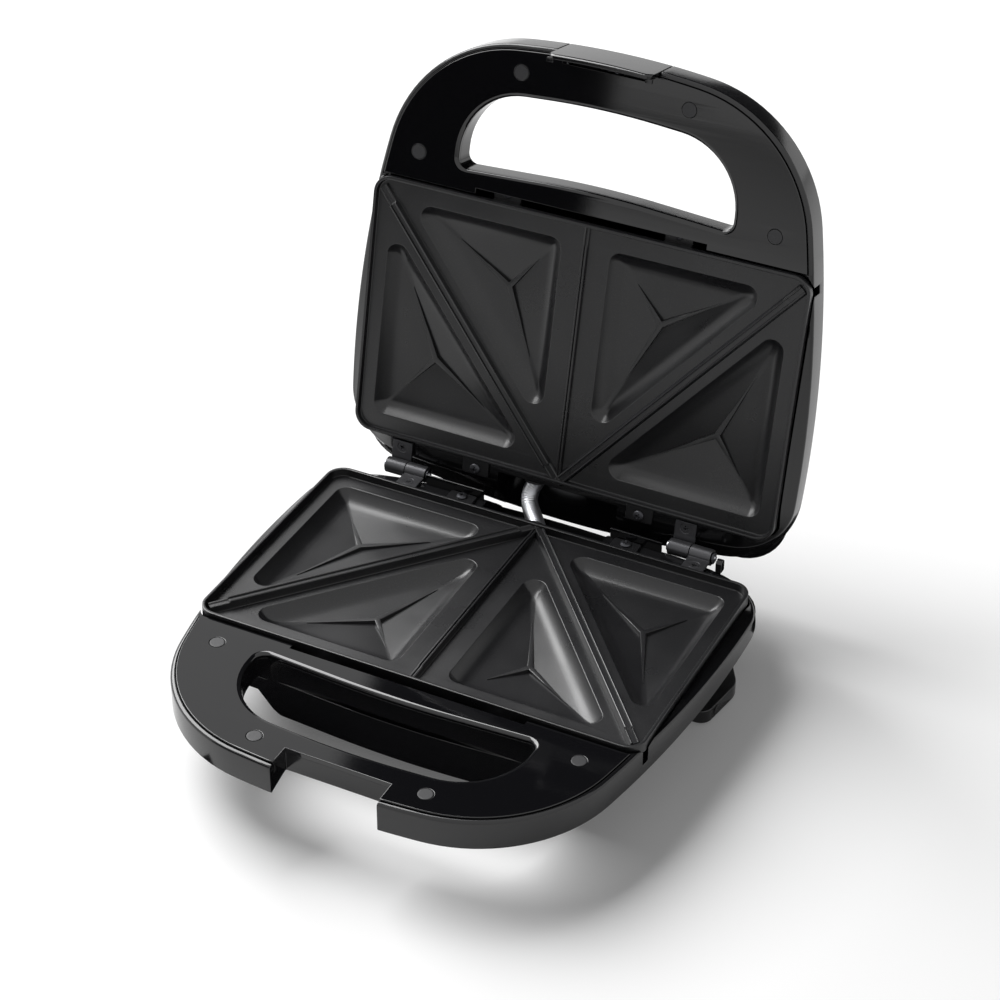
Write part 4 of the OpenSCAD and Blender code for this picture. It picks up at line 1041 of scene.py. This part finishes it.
# Zinc-plated steel for pins, screws and clips: fine turning marks, a bluish dullness in patches.
plating, given, result = group(
    "plated_steel",
    [("Colour", (0.5, 0.5, 0.52, 1)), ("Gloss", 0.3), ("Mark size", 0.0004), ("Mark depth", 0.1)],
    surface_outs)
new, link = makers(plating)
place_at = new("ShaderNodeTexCoord").outputs["Object"]
patches = new("ShaderNodeTexNoise", Scale=320, Detail=4)
link(place_at, patches.inputs["Vector"])
tone = toned(plating, "MULTIPLY", patches.outputs["Fac"], given.outputs["Colour"], (0.66, 0.68, 0.72))
uneven = new("ShaderNodeMath")
uneven.operation = "MULTIPLY_ADD"
uneven.inputs[1].default_value = 0.16
link(patches.outputs["Fac"], uneven.inputs[0])
link(given.outputs["Gloss"], uneven.inputs[2])
_, bump = relief(plating, place_at, given.outputs["Mark size"], given.outputs["Mark depth"], 1, 0.0001)
for source, socket in ((tone, "Colour"), (uneven, "Roughness"), (bump, "Normal")):
    link(source.outputs[0], result.inputs[socket])


def metal(name, colour, gloss, mark_size=0.0004, mark_depth=0.1):
    """Plated steel of a colour and gloss."""
    material, tree, shader = paint(name, colour, gloss, 1.0)
    coat_with(tree, shader, plating, Colour=(*colour, 1), Gloss=gloss, Mark_size=mark_size,
              Mark_depth=mark_depth)
    return material


bright_steel = metal("bright_steel", (0.56, 0.56, 0.58), 0.22)
dark_steel = metal("dark_steel", (0.075, 0.075, 0.08), 0.34)
axis_at = Vector((0, hinge_y, part_h - hinge_drop))
pin_side = [(0, 0), (1.7, 0.04), (2.35, 0.25), (2.6, 0.62), (2.6, 1.0), (pin_r, 1.0), (pin_r, 24.7),
            (1.3, 25.1), (0, 25.1)]
ring_side = [(1.63, 0), (2.7, 0), (2.95, 0.15), (3.0, 0.4), (2.95, 0.65), (2.7, 0.8), (1.63, 0.8)]
pins = as_object(bmesh.new(), "pins_of_hinges")
clips = as_object(bmesh.new(), "clips_of_pins")
for middle_x in hinge_at:
    joined(pins, [put(turned(pin_side), along_x, axis_at + Vector((middle_x - 12.3, 0, 0)))])
    joined(clips, [put(turned(ring_side), along_x, axis_at + Vector((middle_x + 11.3, 0, 0)))])
for thing, node, slot, coat in ((pins, "hinge_pins", "steel", bright_steel),
                                (clips, "hinge_pin_clips", "dark_steel", dark_steel)):
    place(thing, upright_way)
    thing.data.materials.append(coat)
    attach(thing, "base")
    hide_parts(node)

# ---------------------------------------------------------------------------------------------
# Wiring conduit. A flexible sheath of bright steel strip, wound with fine turns, bends from one
# half to the other behind the plates; a plastic collar holds it in the wall of each pit.
conduit_r = 4.3


def swept(path, radius, sides):
    """A tube along a path, closed at its ends."""
    last = len(path) - 1
    heading = [(path[min(i + 1, last)] - path[max(i - 1, 0)]).normalized() for i in range(len(path))]
    side = heading[0].orthogonal().normalized()
    rings = []
    for i, (p, way) in enumerate(zip(path, heading)):
        side = (side - way * side.dot(way)).normalized()
        other = way.cross(side)
        r = radius[i] if isinstance(radius, list) else radius
        turns = [math.tau * k / sides for k in range(sides)]
        rings.append([p + r * (math.cos(t) * side + math.sin(t) * other) for t in turns])
    return loft(rings)


def bent(points, share):
    """A point on the cubic curve that four points pull into shape."""
    rest = 1 - share
    return (points[0] * rest ** 3 + 3 * points[1] * rest * rest * share
            + 3 * points[2] * rest * share * share + points[3] * share ** 3)


lead, tail = 2.2, 3.8
low_end = in_base @ Vector((conduit_x["base"], pit_front + lead, -conduit_drop))
high_end = in_lid @ Vector((conduit_x["lid"], pit_front + lead, -conduit_drop))
up_lid = (in_lid @ Vector((0, 0, 0)) - in_lid @ Vector((0, 1, 0))).normalized()
knots = [low_end, low_end + Vector((-6, 10, 0)), high_end - up_lid * 12 + Vector((-7, 0, 0)), high_end]
route = [low_end - Vector((0, lead + tail, 0)), low_end - Vector((0, 1.0, 0))]
route += [bent(knots, i / 40) for i in range(41)] + [high_end + up_lid, high_end + up_lid * (lead + tail)]
turns = []
for a, b in zip(route, route[1:]):
    count = max(1, round((b - a).length / 0.28))
    turns += [a.lerp(b, i / count) for i in range(count)]
turns.append(route[-1])
wave = [conduit_r - 0.04 - 0.13 * (i % 5 in (0, 1)) for i in range(len(turns))]
conduit = as_object(swept(turns, wave, 28), "wiring_sheath")
place(conduit, upright_way, 60)
sheath_steel, tree, shader = paint("sheath_steel", (0.60, 0.60, 0.61), 0.34, 1.0)
coat_with(tree, shader, plating, Colour=(0.66, 0.66, 0.67, 1), Gloss=0.28, Mark_size=0.0008, Mark_depth=0.08)
conduit.data.materials.append(sheath_steel)
baked(conduit)
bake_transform(conduit)
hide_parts("wiring_conduit")

inner_black = plastic("inner_black", (0.016, 0.016, 0.017), 0.42, 0.05, 0.0006, 0.10)
collar_side = [(4.35, 0.2), (4.45, 0), (4.8, 0), (4.95, 0.2), (4.95, 3.25), (6.0, 3.25), (6.25, 3.5),
               (6.25, 4.4), (6.0, 4.65), (4.6, 4.65), (4.35, 4.4)]
for body, where in halves.items():
    at = (conduit_x[body], pit_front - wall - 0.8, -conduit_drop)
    collar = as_object(put(turned(collar_side), along_y, at), body + "_collar")
    place(collar, where)
    collar.data.materials.append(inner_black)
    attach(collar, body)
    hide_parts(body + "_conduit_collar")

# ---------------------------------------------------------------------------------------------
# Latch. A glossy black clip closes the notch in the lid's handle and swings on a steel pin; a
# torsion spring wound round the pin presses its hooked foot back over the base.
pin_y, pin_drop = tip_y + 7, 11
clip_flat, clip_end_r = 22.3, 3.2


def clip_section(x):
    """The clip cut across at x: its front wall follows the casing's bow and its ends are rounded."""
    front = tip_y + front_R - math.sqrt(front_R ** 2 - x * x)
    edge = max(0, abs(x) - clip_flat) / clip_end_r
    rounding = 1 - math.sqrt(max(0, 1 - edge * edge))
    top, foot = 8 - clip_end_r * rounding, -19.5 + 1.2 * rounding
    points = [(8.6, foot), (8.6, -17.6), (8.0, -17.0), (3.4, -17.0), (2.4, -16.0), (2.4, top - 0.5),
              (1.9, top), (0.7, top), (0.1, top - 0.7), (0, top - 1.5), (0, -17.0), (0.35, -18.4),
              (1.4, foot)]
    return [Vector((x, front + y, z)) for y, z in points]


ends = [clip_flat + clip_end_r * math.sin(math.pi / 2 * i / 8) for i in range(9)]
stations = [-x for x in ends[::-1]] + [-16, -8, 0, 8, 16] + ends
clip = as_object(loft([clip_section(x) for x in stations]), "lid_clip")
barrel = [(1.36, 0), (2.8, 0), (3, 0.2), (3, 13.8), (2.8, 14), (1.36, 14)]
web = box_outline(tip_y + 1.5, tip_y + 5, -pin_drop - 1.2, -pin_drop + 1.2, 0.3, 3)
lug = [Vector((tip_y + y, z)) for y, z in ((2.6, 5.8), (4.6, 6.1), (4.6, 7.5), (2.6, 7.2))]
parts = []
for side in (1, -1):
    parts.append(put(turned(barrel), along_x, (6 if side > 0 else -20, pin_y, -pin_drop)))
    parts.append(across_x(web[::side], side * 6.3, side * 19.7))
    parts.append(across_x(lug[::side], side * 22.8, side * 26.2))
joined(clip, parts)
soften(clip, 0.22, 2, 50)
place(clip, in_lid)
latch_black = plastic("latch_black", (0.010, 0.010, 0.011), 0.09, 0.04)
clip.data.materials.append(latch_black)
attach(clip, "latch")
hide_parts("latch_clip")

rod = turned([(0, 0), (1.0, 0), (1.3, 0.3), (1.3, 54.7), (1.0, 55), (0, 55)])
latch_pin = as_object(put(rod, along_x, (-27.5, pin_y, -pin_drop)), "clip_pin")
place(latch_pin, in_lid)
latch_pin.data.materials.append(bright_steel)
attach(latch_pin, "lid")
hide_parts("latch_pin")

wire_r, coil_R, coil_w, coil_turns, coil_steps = 0.42, 1.9, 4.6, 6, 24
coil_end = coil_turns * coil_steps
coil = []
for i in range(coil_end + 1):
    t = math.tau * i / coil_steps
    coil.append(Vector((-coil_w / 2 + coil_w * i / coil_end, pin_y + coil_R * math.sin(t),
                        -pin_drop - coil_R * math.cos(t))))
spring = as_object(swept(coil, wire_r, 8), "torsion_spring")
place(spring, in_lid, 70)
spring_steel = metal("spring_steel", (0.62, 0.62, 0.64), 0.20, 0.0003, 0.05)
spring.data.materials.append(spring_steel)
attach(spring, "lid")
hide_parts("latch_spring")

# ---------------------------------------------------------------------------------------------
# Feet. Two rubber feet stand in front. Behind are two wide plastic legs, with a lip under which
# the cord is wound and a pair of grooves at the front corner, each on a thin rubber pad.
rubber, tree, shader = paint("rubber", (0.018, 0.018, 0.018), 0.75)
coat_with(tree, shader, moulding, Colour=(0.020, 0.020, 0.021, 1), Grain_size=0.0007, Grain_depth=0.30,
          Gloss=0.62, Smear=0.18)
feet = as_object(bmesh.new(), "rubber_feet")
foot_side = [(0, 0.6), (3.0, 0.6), (3.4, 0), (6.2, 0), (6.7, 0.35), (6.85, 0.9), (7.9, 7.4), (7.9, 7.8),
             (7.6, 7.95), (2.4, 7.95), (2.4, 11.4), (1.8, 12), (0, 12)]
joined(feet, [put(turned(foot_side), upright_way, (side * 72, plate_front + 21, 0)) for side in (1, -1)])
place(feet, upright_way)
feet.data.materials.append(rubber)
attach(feet, "base")
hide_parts("front_feet")

leg_x, leg_y = plate_w / 2 - 19, plate_rear - 31.5
leg_screw_x = leg_x - 9
leg_outline = rounded([(leg_x - 19, leg_y - 23), (leg_x + 19, leg_y - 21), (leg_x + 23, leg_y + 6),
                       (leg_x + 13, leg_y + 23), (leg_x - 19, leg_y + 23)], [4, 6, 12, 8, 4])
leg_black = plastic("leg_black", (0.013, 0.013, 0.014), 0.24, 0.07, 0.0006, 0.10)
legs = as_object(bmesh.new(), "cord_legs")
pads = as_object(bmesh.new(), "leg_pads")
for side in (1, -1):
    ring = [Vector((side * p.x, p.y)) for p in leg_outline][::side]
    screw_x = side * leg_screw_x
    hole = circle((screw_x, leg_y), 1.9)
    leg = as_object(sheet(ring, [hole], -part_h + 0.8, -body_d - 0.05, [(0, 0)]), "leg")
    cuts = [prism(circle((screw_x, leg_y), 3.2), -part_h - 1, -part_h + 4)]
    for y, x in ((leg_y - 15.4, leg_x + 20.05), (leg_y - 12.2, leg_x + 20.5)):
        cuts.append(prism(circle((side * x, y), 0.75, 12), -part_h, -body_d - 0.6))
    carve(leg, cuts)
    soften(leg, 0.5, 3, 45)
    take_in(legs, leg)
    x0, x1 = (leg_x + 1, leg_x + 16) if side > 0 else (-leg_x - 16, -leg_x - 1)
    pad = box_outline(x0, x1, leg_y - 15, leg_y + 14, 4)
    joined(pads, [sheet(pad, [], -part_h, -part_h + 0.78, [(0, 0)])])
for thing, node, slot, coat in ((legs, "cord_wrap_legs", "leg_plastic", leg_black),
                                (pads, "rear_foot_pads", "rubber", rubber)):
    place(thing, in_base)
    thing.data.materials.append(coat)
    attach(thing, "base")
    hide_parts(node)

# ---------------------------------------------------------------------------------------------
# Bottom cover and gland. A flat plastic cover with eight slots closes the base from below; a
# ringed rubber gland in the rear wall lets the mains cord in.
slot_xs = [12 * (i - 3.5) for i in range(8)]
slots = [box_outline(x - 1.5, x + 1.5, bottom_y - 18, bottom_y + 18, 1.4, 4) for x in slot_xs]
bottom_screws = [(sx * 54, bottom_y + sy * 28) for sx in (1, -1) for sy in (1, -1)]
holes = [circle(spot, 1.9) for spot in bottom_screws]
low, high = -body_d - 0.8, -body_d + 1.1
outline = box_outline(-bottom_half_w, bottom_half_w, bottom_y - bottom_half_d, bottom_y + bottom_half_d, 6)
lower = sheet(outline, slots + holes, -high, -low, quarter(0.4))
lower.transform(Matrix.Scale(-1, 4, (0, 0, 1)))
bottom = as_object(lower, "bottom_cover")
place(bottom, in_base)
bottom.data.materials.append(inner_black)
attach(bottom, "base")
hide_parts("base_bottom_cover")

gland_drop = 30
gland_y = plate_rear + 19 - 11 * (gland_drop - 17) / (body_d - 17)
profile = [(3.2, -8), (4.9, -8), (4.95, 4), (6.3, 4), (6.5, 4.2), (6.5, 5.8), (6.3, 6), (5.5, 6)]
for i in range(4):
    r, z = 5.4 - 0.22 * i, 2.4 * i
    profile += [(r, 6.4 + z), (r - 0.05, 7.6 + z), (r - 0.9, 7.9 + z), (r - 0.95, 8.6 + z)]
profile += [(4.5, 16.2), (4.3, 17), (3.2, 17)]
gland = as_object(put(turned(profile), along_y, (-40, gland_y, -gland_drop)), "gland_of_cord")
place(gland, in_base, 50)
gland.data.materials.append(rubber)
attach(gland, "base")
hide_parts("cord_gland")

# ---------------------------------------------------------------------------------------------
# Screws. Each has a cross recess and a head sized for its job: countersunk in the hinge leaves,
# pan-headed elsewhere. Geometry Nodes set them at their places, as one mesh for each node.


def screw_body(head_r, head_h, length):
    """A screw round Z with its head over 0, its shank below, and a cross recess."""
    profile = [(0, -length), (0.7, -length + 0.1), (1.45, -length + 1.6), (1.45, -1.4)]
    if head_h > 0.2:
        profile += [(1.45, 0.0), (head_r - 0.1, 0.0), (head_r, 0.12), (head_r, head_h * 0.45),
                    (head_r * 0.86, head_h * 0.8), (head_r * 0.6, head_h * 0.97), (0, head_h)]
    else:
        profile += [(1.72, -1.36), (head_r, 0.02), (head_r - 0.08, head_h), (0, head_h)]
    thing = as_object(turned(profile, 28), "screw_shape")
    cross = []
    for turn in (0, math.pi / 2):
        slit = [at_height([Vector(p) for p in ((-w, -0.32), (w, -0.32), (w, 0.32), (-w, 0.32))], z)
                for w, z in ((head_r * 0.28, head_h - 1.0), (head_r * 0.62, head_h + 0.4))]
        cross.append(put(loft(slit), Matrix.Rotation(turn, 4, "Z"), (0, 0, 0)))
    carve(thing, cross)
    cut_up(thing.data, 4)
    return thing


def setter():
    """A tree that sets one shape at every point of a mesh, turned by the point's own turn."""
    tree = bpy.data.node_groups.new("set_fasteners", "GeometryNodeTree")
    face = tree.interface
    face.new_socket("Places", in_out="INPUT", socket_type="NodeSocketGeometry")
    face.new_socket("Shape", in_out="INPUT", socket_type="NodeSocketObject")
    face.new_socket("Material", in_out="INPUT", socket_type="NodeSocketMaterial")
    face.new_socket("Size", in_out="INPUT", socket_type="NodeSocketFloat").default_value = 1.0
    face.new_socket("Fasteners", in_out="OUTPUT", socket_type="NodeSocketGeometry")
    new, link = makers(tree)
    given, result = new("NodeGroupInput"), new("NodeGroupOutput")
    shape = new("GeometryNodeObjectInfo")
    link(given.outputs["Shape"], shape.inputs["Object"])
    turn = new("GeometryNodeInputNamedAttribute")
    turn.data_type = "FLOAT_VECTOR"
    turn.inputs["Name"].default_value = "turn"
    each = new("GeometryNodeInstanceOnPoints")
    link(given.outputs["Places"], each.inputs["Points"])
    link(shape.outputs["Geometry"], each.inputs["Instance"])
    link(turn.outputs["Attribute"], each.inputs["Rotation"])
    link(given.outputs["Size"], each.inputs["Scale"])
    real = new("GeometryNodeRealizeInstances")
    link(each.outputs["Instances"], real.inputs["Geometry"])
    coat = new("GeometryNodeSetMaterial")
    link(real.outputs["Geometry"], coat.inputs["Geometry"])
    link(given.outputs["Material"], coat.inputs["Material"])
    link(coat.outputs["Geometry"], result.inputs["Fasteners"])
    return tree


set_fasteners = setter()
kinds = {"plate": (2.7, 1.3, 8.0), "small": (2.2, 1.2, 5.4), "cover": (3.0, 1.6, 8.6),
         "hidden": (2.85, 0.45, 8.6), "leaf": (2.56, 0.08, 5.6)}
shapes = {kind: screw_body(*size) for kind, size in kinds.items()}


def fasten(name, body, node, coat, places):
    """Screws of several kinds at (x, y, z, head down) places, as one mesh that replaces a node."""
    whole = as_object(bmesh.new(), name)
    for kind, spots in places.items():
        points = bpy.data.meshes.new("spots")
        points.from_pydata([spot[:3] for spot in spots], [], [])
        turns = points.attributes.new("turn", "FLOAT_VECTOR", "POINT")
        for i, spot in enumerate(spots):
            turns.data[i].vector = (math.pi if spot[3] else 0, 0, 0.4 + 1.1 * i)
        carrier = bpy.data.objects.new("spots", points)
        bpy.context.collection.objects.link(carrier)
        modifier = carrier.modifiers.new("set", "NODES")
        modifier.node_group = set_fasteners
        given = {item.name: item.identifier for item in set_fasteners.interface.items_tree
                 if item.item_type == "SOCKET" and item.in_out == "INPUT"}
        modifier[given["Shape"]] = shapes[kind]
        modifier[given["Material"]] = coat
        modifier[given["Size"]] = 1.0
        take_in(whole, baked(carrier))
    place(whole, halves[body], 30)
    whole.data.materials.clear()
    whole.data.materials.append(coat)
    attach(whole, body)
    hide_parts(node)


def both(x, y, z, down=False):
    """The same place on the right and on the left."""
    return [(x, y, z, down), (-x, y, z, down)]


for body in halves:
    tabs = {"plate": both(tab_x, rear_tab_y, -1.6), "small": both(tab_x, front_tab_y, -6.0)}
    fasten(body + "_tab_screws", body, body + "_plate_screws", dark_steel, tabs)
    plugged = {"hidden": [spot for x, y in plug_at for spot in both(x, y, -cover_drop - 1.15)]}
    fasten(body + "_grip_screws", body, body + "_handle_screws", bright_steel, plugged)
    offset = 5.5 if body == "base" else -5.5
    on_leaves = {"leaf": [(x + offset, leaf_screw_y, -1.66, False) for x in hinge_at]}
    fasten(body + "_leaf_screws", body, "hinge_" + body + "_screws", hinge_steel, on_leaves)
on_bottom = {"cover": [(x, y, -body_d - 0.85, True) for x, y in bottom_screws]}
fasten("cover_screws", "base", "bottom_cover_screws", bright_steel, on_bottom)
in_legs = {"cover": both(leg_screw_x, leg_y, -part_h + 3.95, True)}
fasten("foot_screws", "base", "leg_screws", bright_steel, in_legs)
for shape in shapes.values():
    bpy.data.objects.remove(shape)

# ---------------------------------------------------------------------------------------------
# Inner parts. The heaters, their beads, the reflectors and the electrical parts keep their own
# solids; each gets the surface of its stuff: scaled steel, porcelain, bright sheet, brass, glass.


def speckled(name, colour, second, scale, roughness, metallic=0.0, depth=0.1, stretch=(1, 1, 1)):
    """A two-tone surface: a noise mixes the tones, varies the gloss and lifts the grain."""
    material, tree, shader = paint(name, colour, roughness, metallic)
    new, link = makers(tree)
    mapping = new("ShaderNodeMapping", Scale=stretch)
    link(new("ShaderNodeTexCoord").outputs["Object"], mapping.inputs["Vector"])
    noise = new("ShaderNodeTexNoise", Scale=scale, Detail=5)
    link(mapping.outputs[0], noise.inputs["Vector"])
    tones = new("ShaderNodeMixRGB", Color1=(*colour, 1), Color2=(*second, 1))
    link(noise.outputs["Fac"], tones.inputs["Fac"])
    link(tones.outputs[0], shader.inputs["Base Color"])
    gloss = new("ShaderNodeMapRange", To_Min=roughness - 0.1, To_Max=roughness + 0.14)
    link(noise.outputs["Fac"], gloss.inputs["Value"])
    link(gloss.outputs[0], shader.inputs["Roughness"])
    bump = new("ShaderNodeBump", Distance=0.0002, Strength=depth)
    link(noise.outputs["Fac"], bump.inputs["Height"])
    link(bump.outputs[0], shader.inputs["Normal"])
    return material, shader


scaled_steel, _ = speckled("scaled_steel", (0.34, 0.33, 0.33), (0.16, 0.14, 0.14), 260, 0.42, 1.0, 0.2)
porcelain, _ = speckled("porcelain", (0.80, 0.77, 0.70), (0.72, 0.68, 0.60), 180, 0.38, 0.0, 0.15)
bright_sheet, _ = speckled("bright_sheet", (0.66, 0.67, 0.69), (0.52, 0.53, 0.56), 120, 0.26, 1.0, 0.06,
                           (1, 14, 1))
brass_case, _ = speckled("brass_case", (0.66, 0.46, 0.18), (0.50, 0.33, 0.13), 300, 0.32, 1.0, 0.08)
lamp_glass, shader = speckled("lamp_glass", (0.92, 0.70, 0.52), (0.88, 0.60, 0.42), 200, 0.12)
shader.inputs["Transmission Weight"].default_value = 0.5
lens_red, shader = speckled("lens_red", (0.62, 0.035, 0.02), (0.50, 0.02, 0.015), 150, 0.14, 0.0, 0.05)
shader.inputs["Transmission Weight"].default_value = 0.35
for nodes, coat in (
        (("base_heater", "lid_heater"), scaled_steel),
        (("base_heater_beads", "lid_heater_beads", "terminal_block", "thermostat"), porcelain),
        (("base_reflector", "lid_reflector"), bright_sheet), (("thermal_fuse",), brass_case),
        (("indicator_lamps",), lamp_glass), (("lamp_lenses",), lens_red)):
    for node in nodes:
        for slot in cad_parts[node].material_slots:
            slot.material = coat
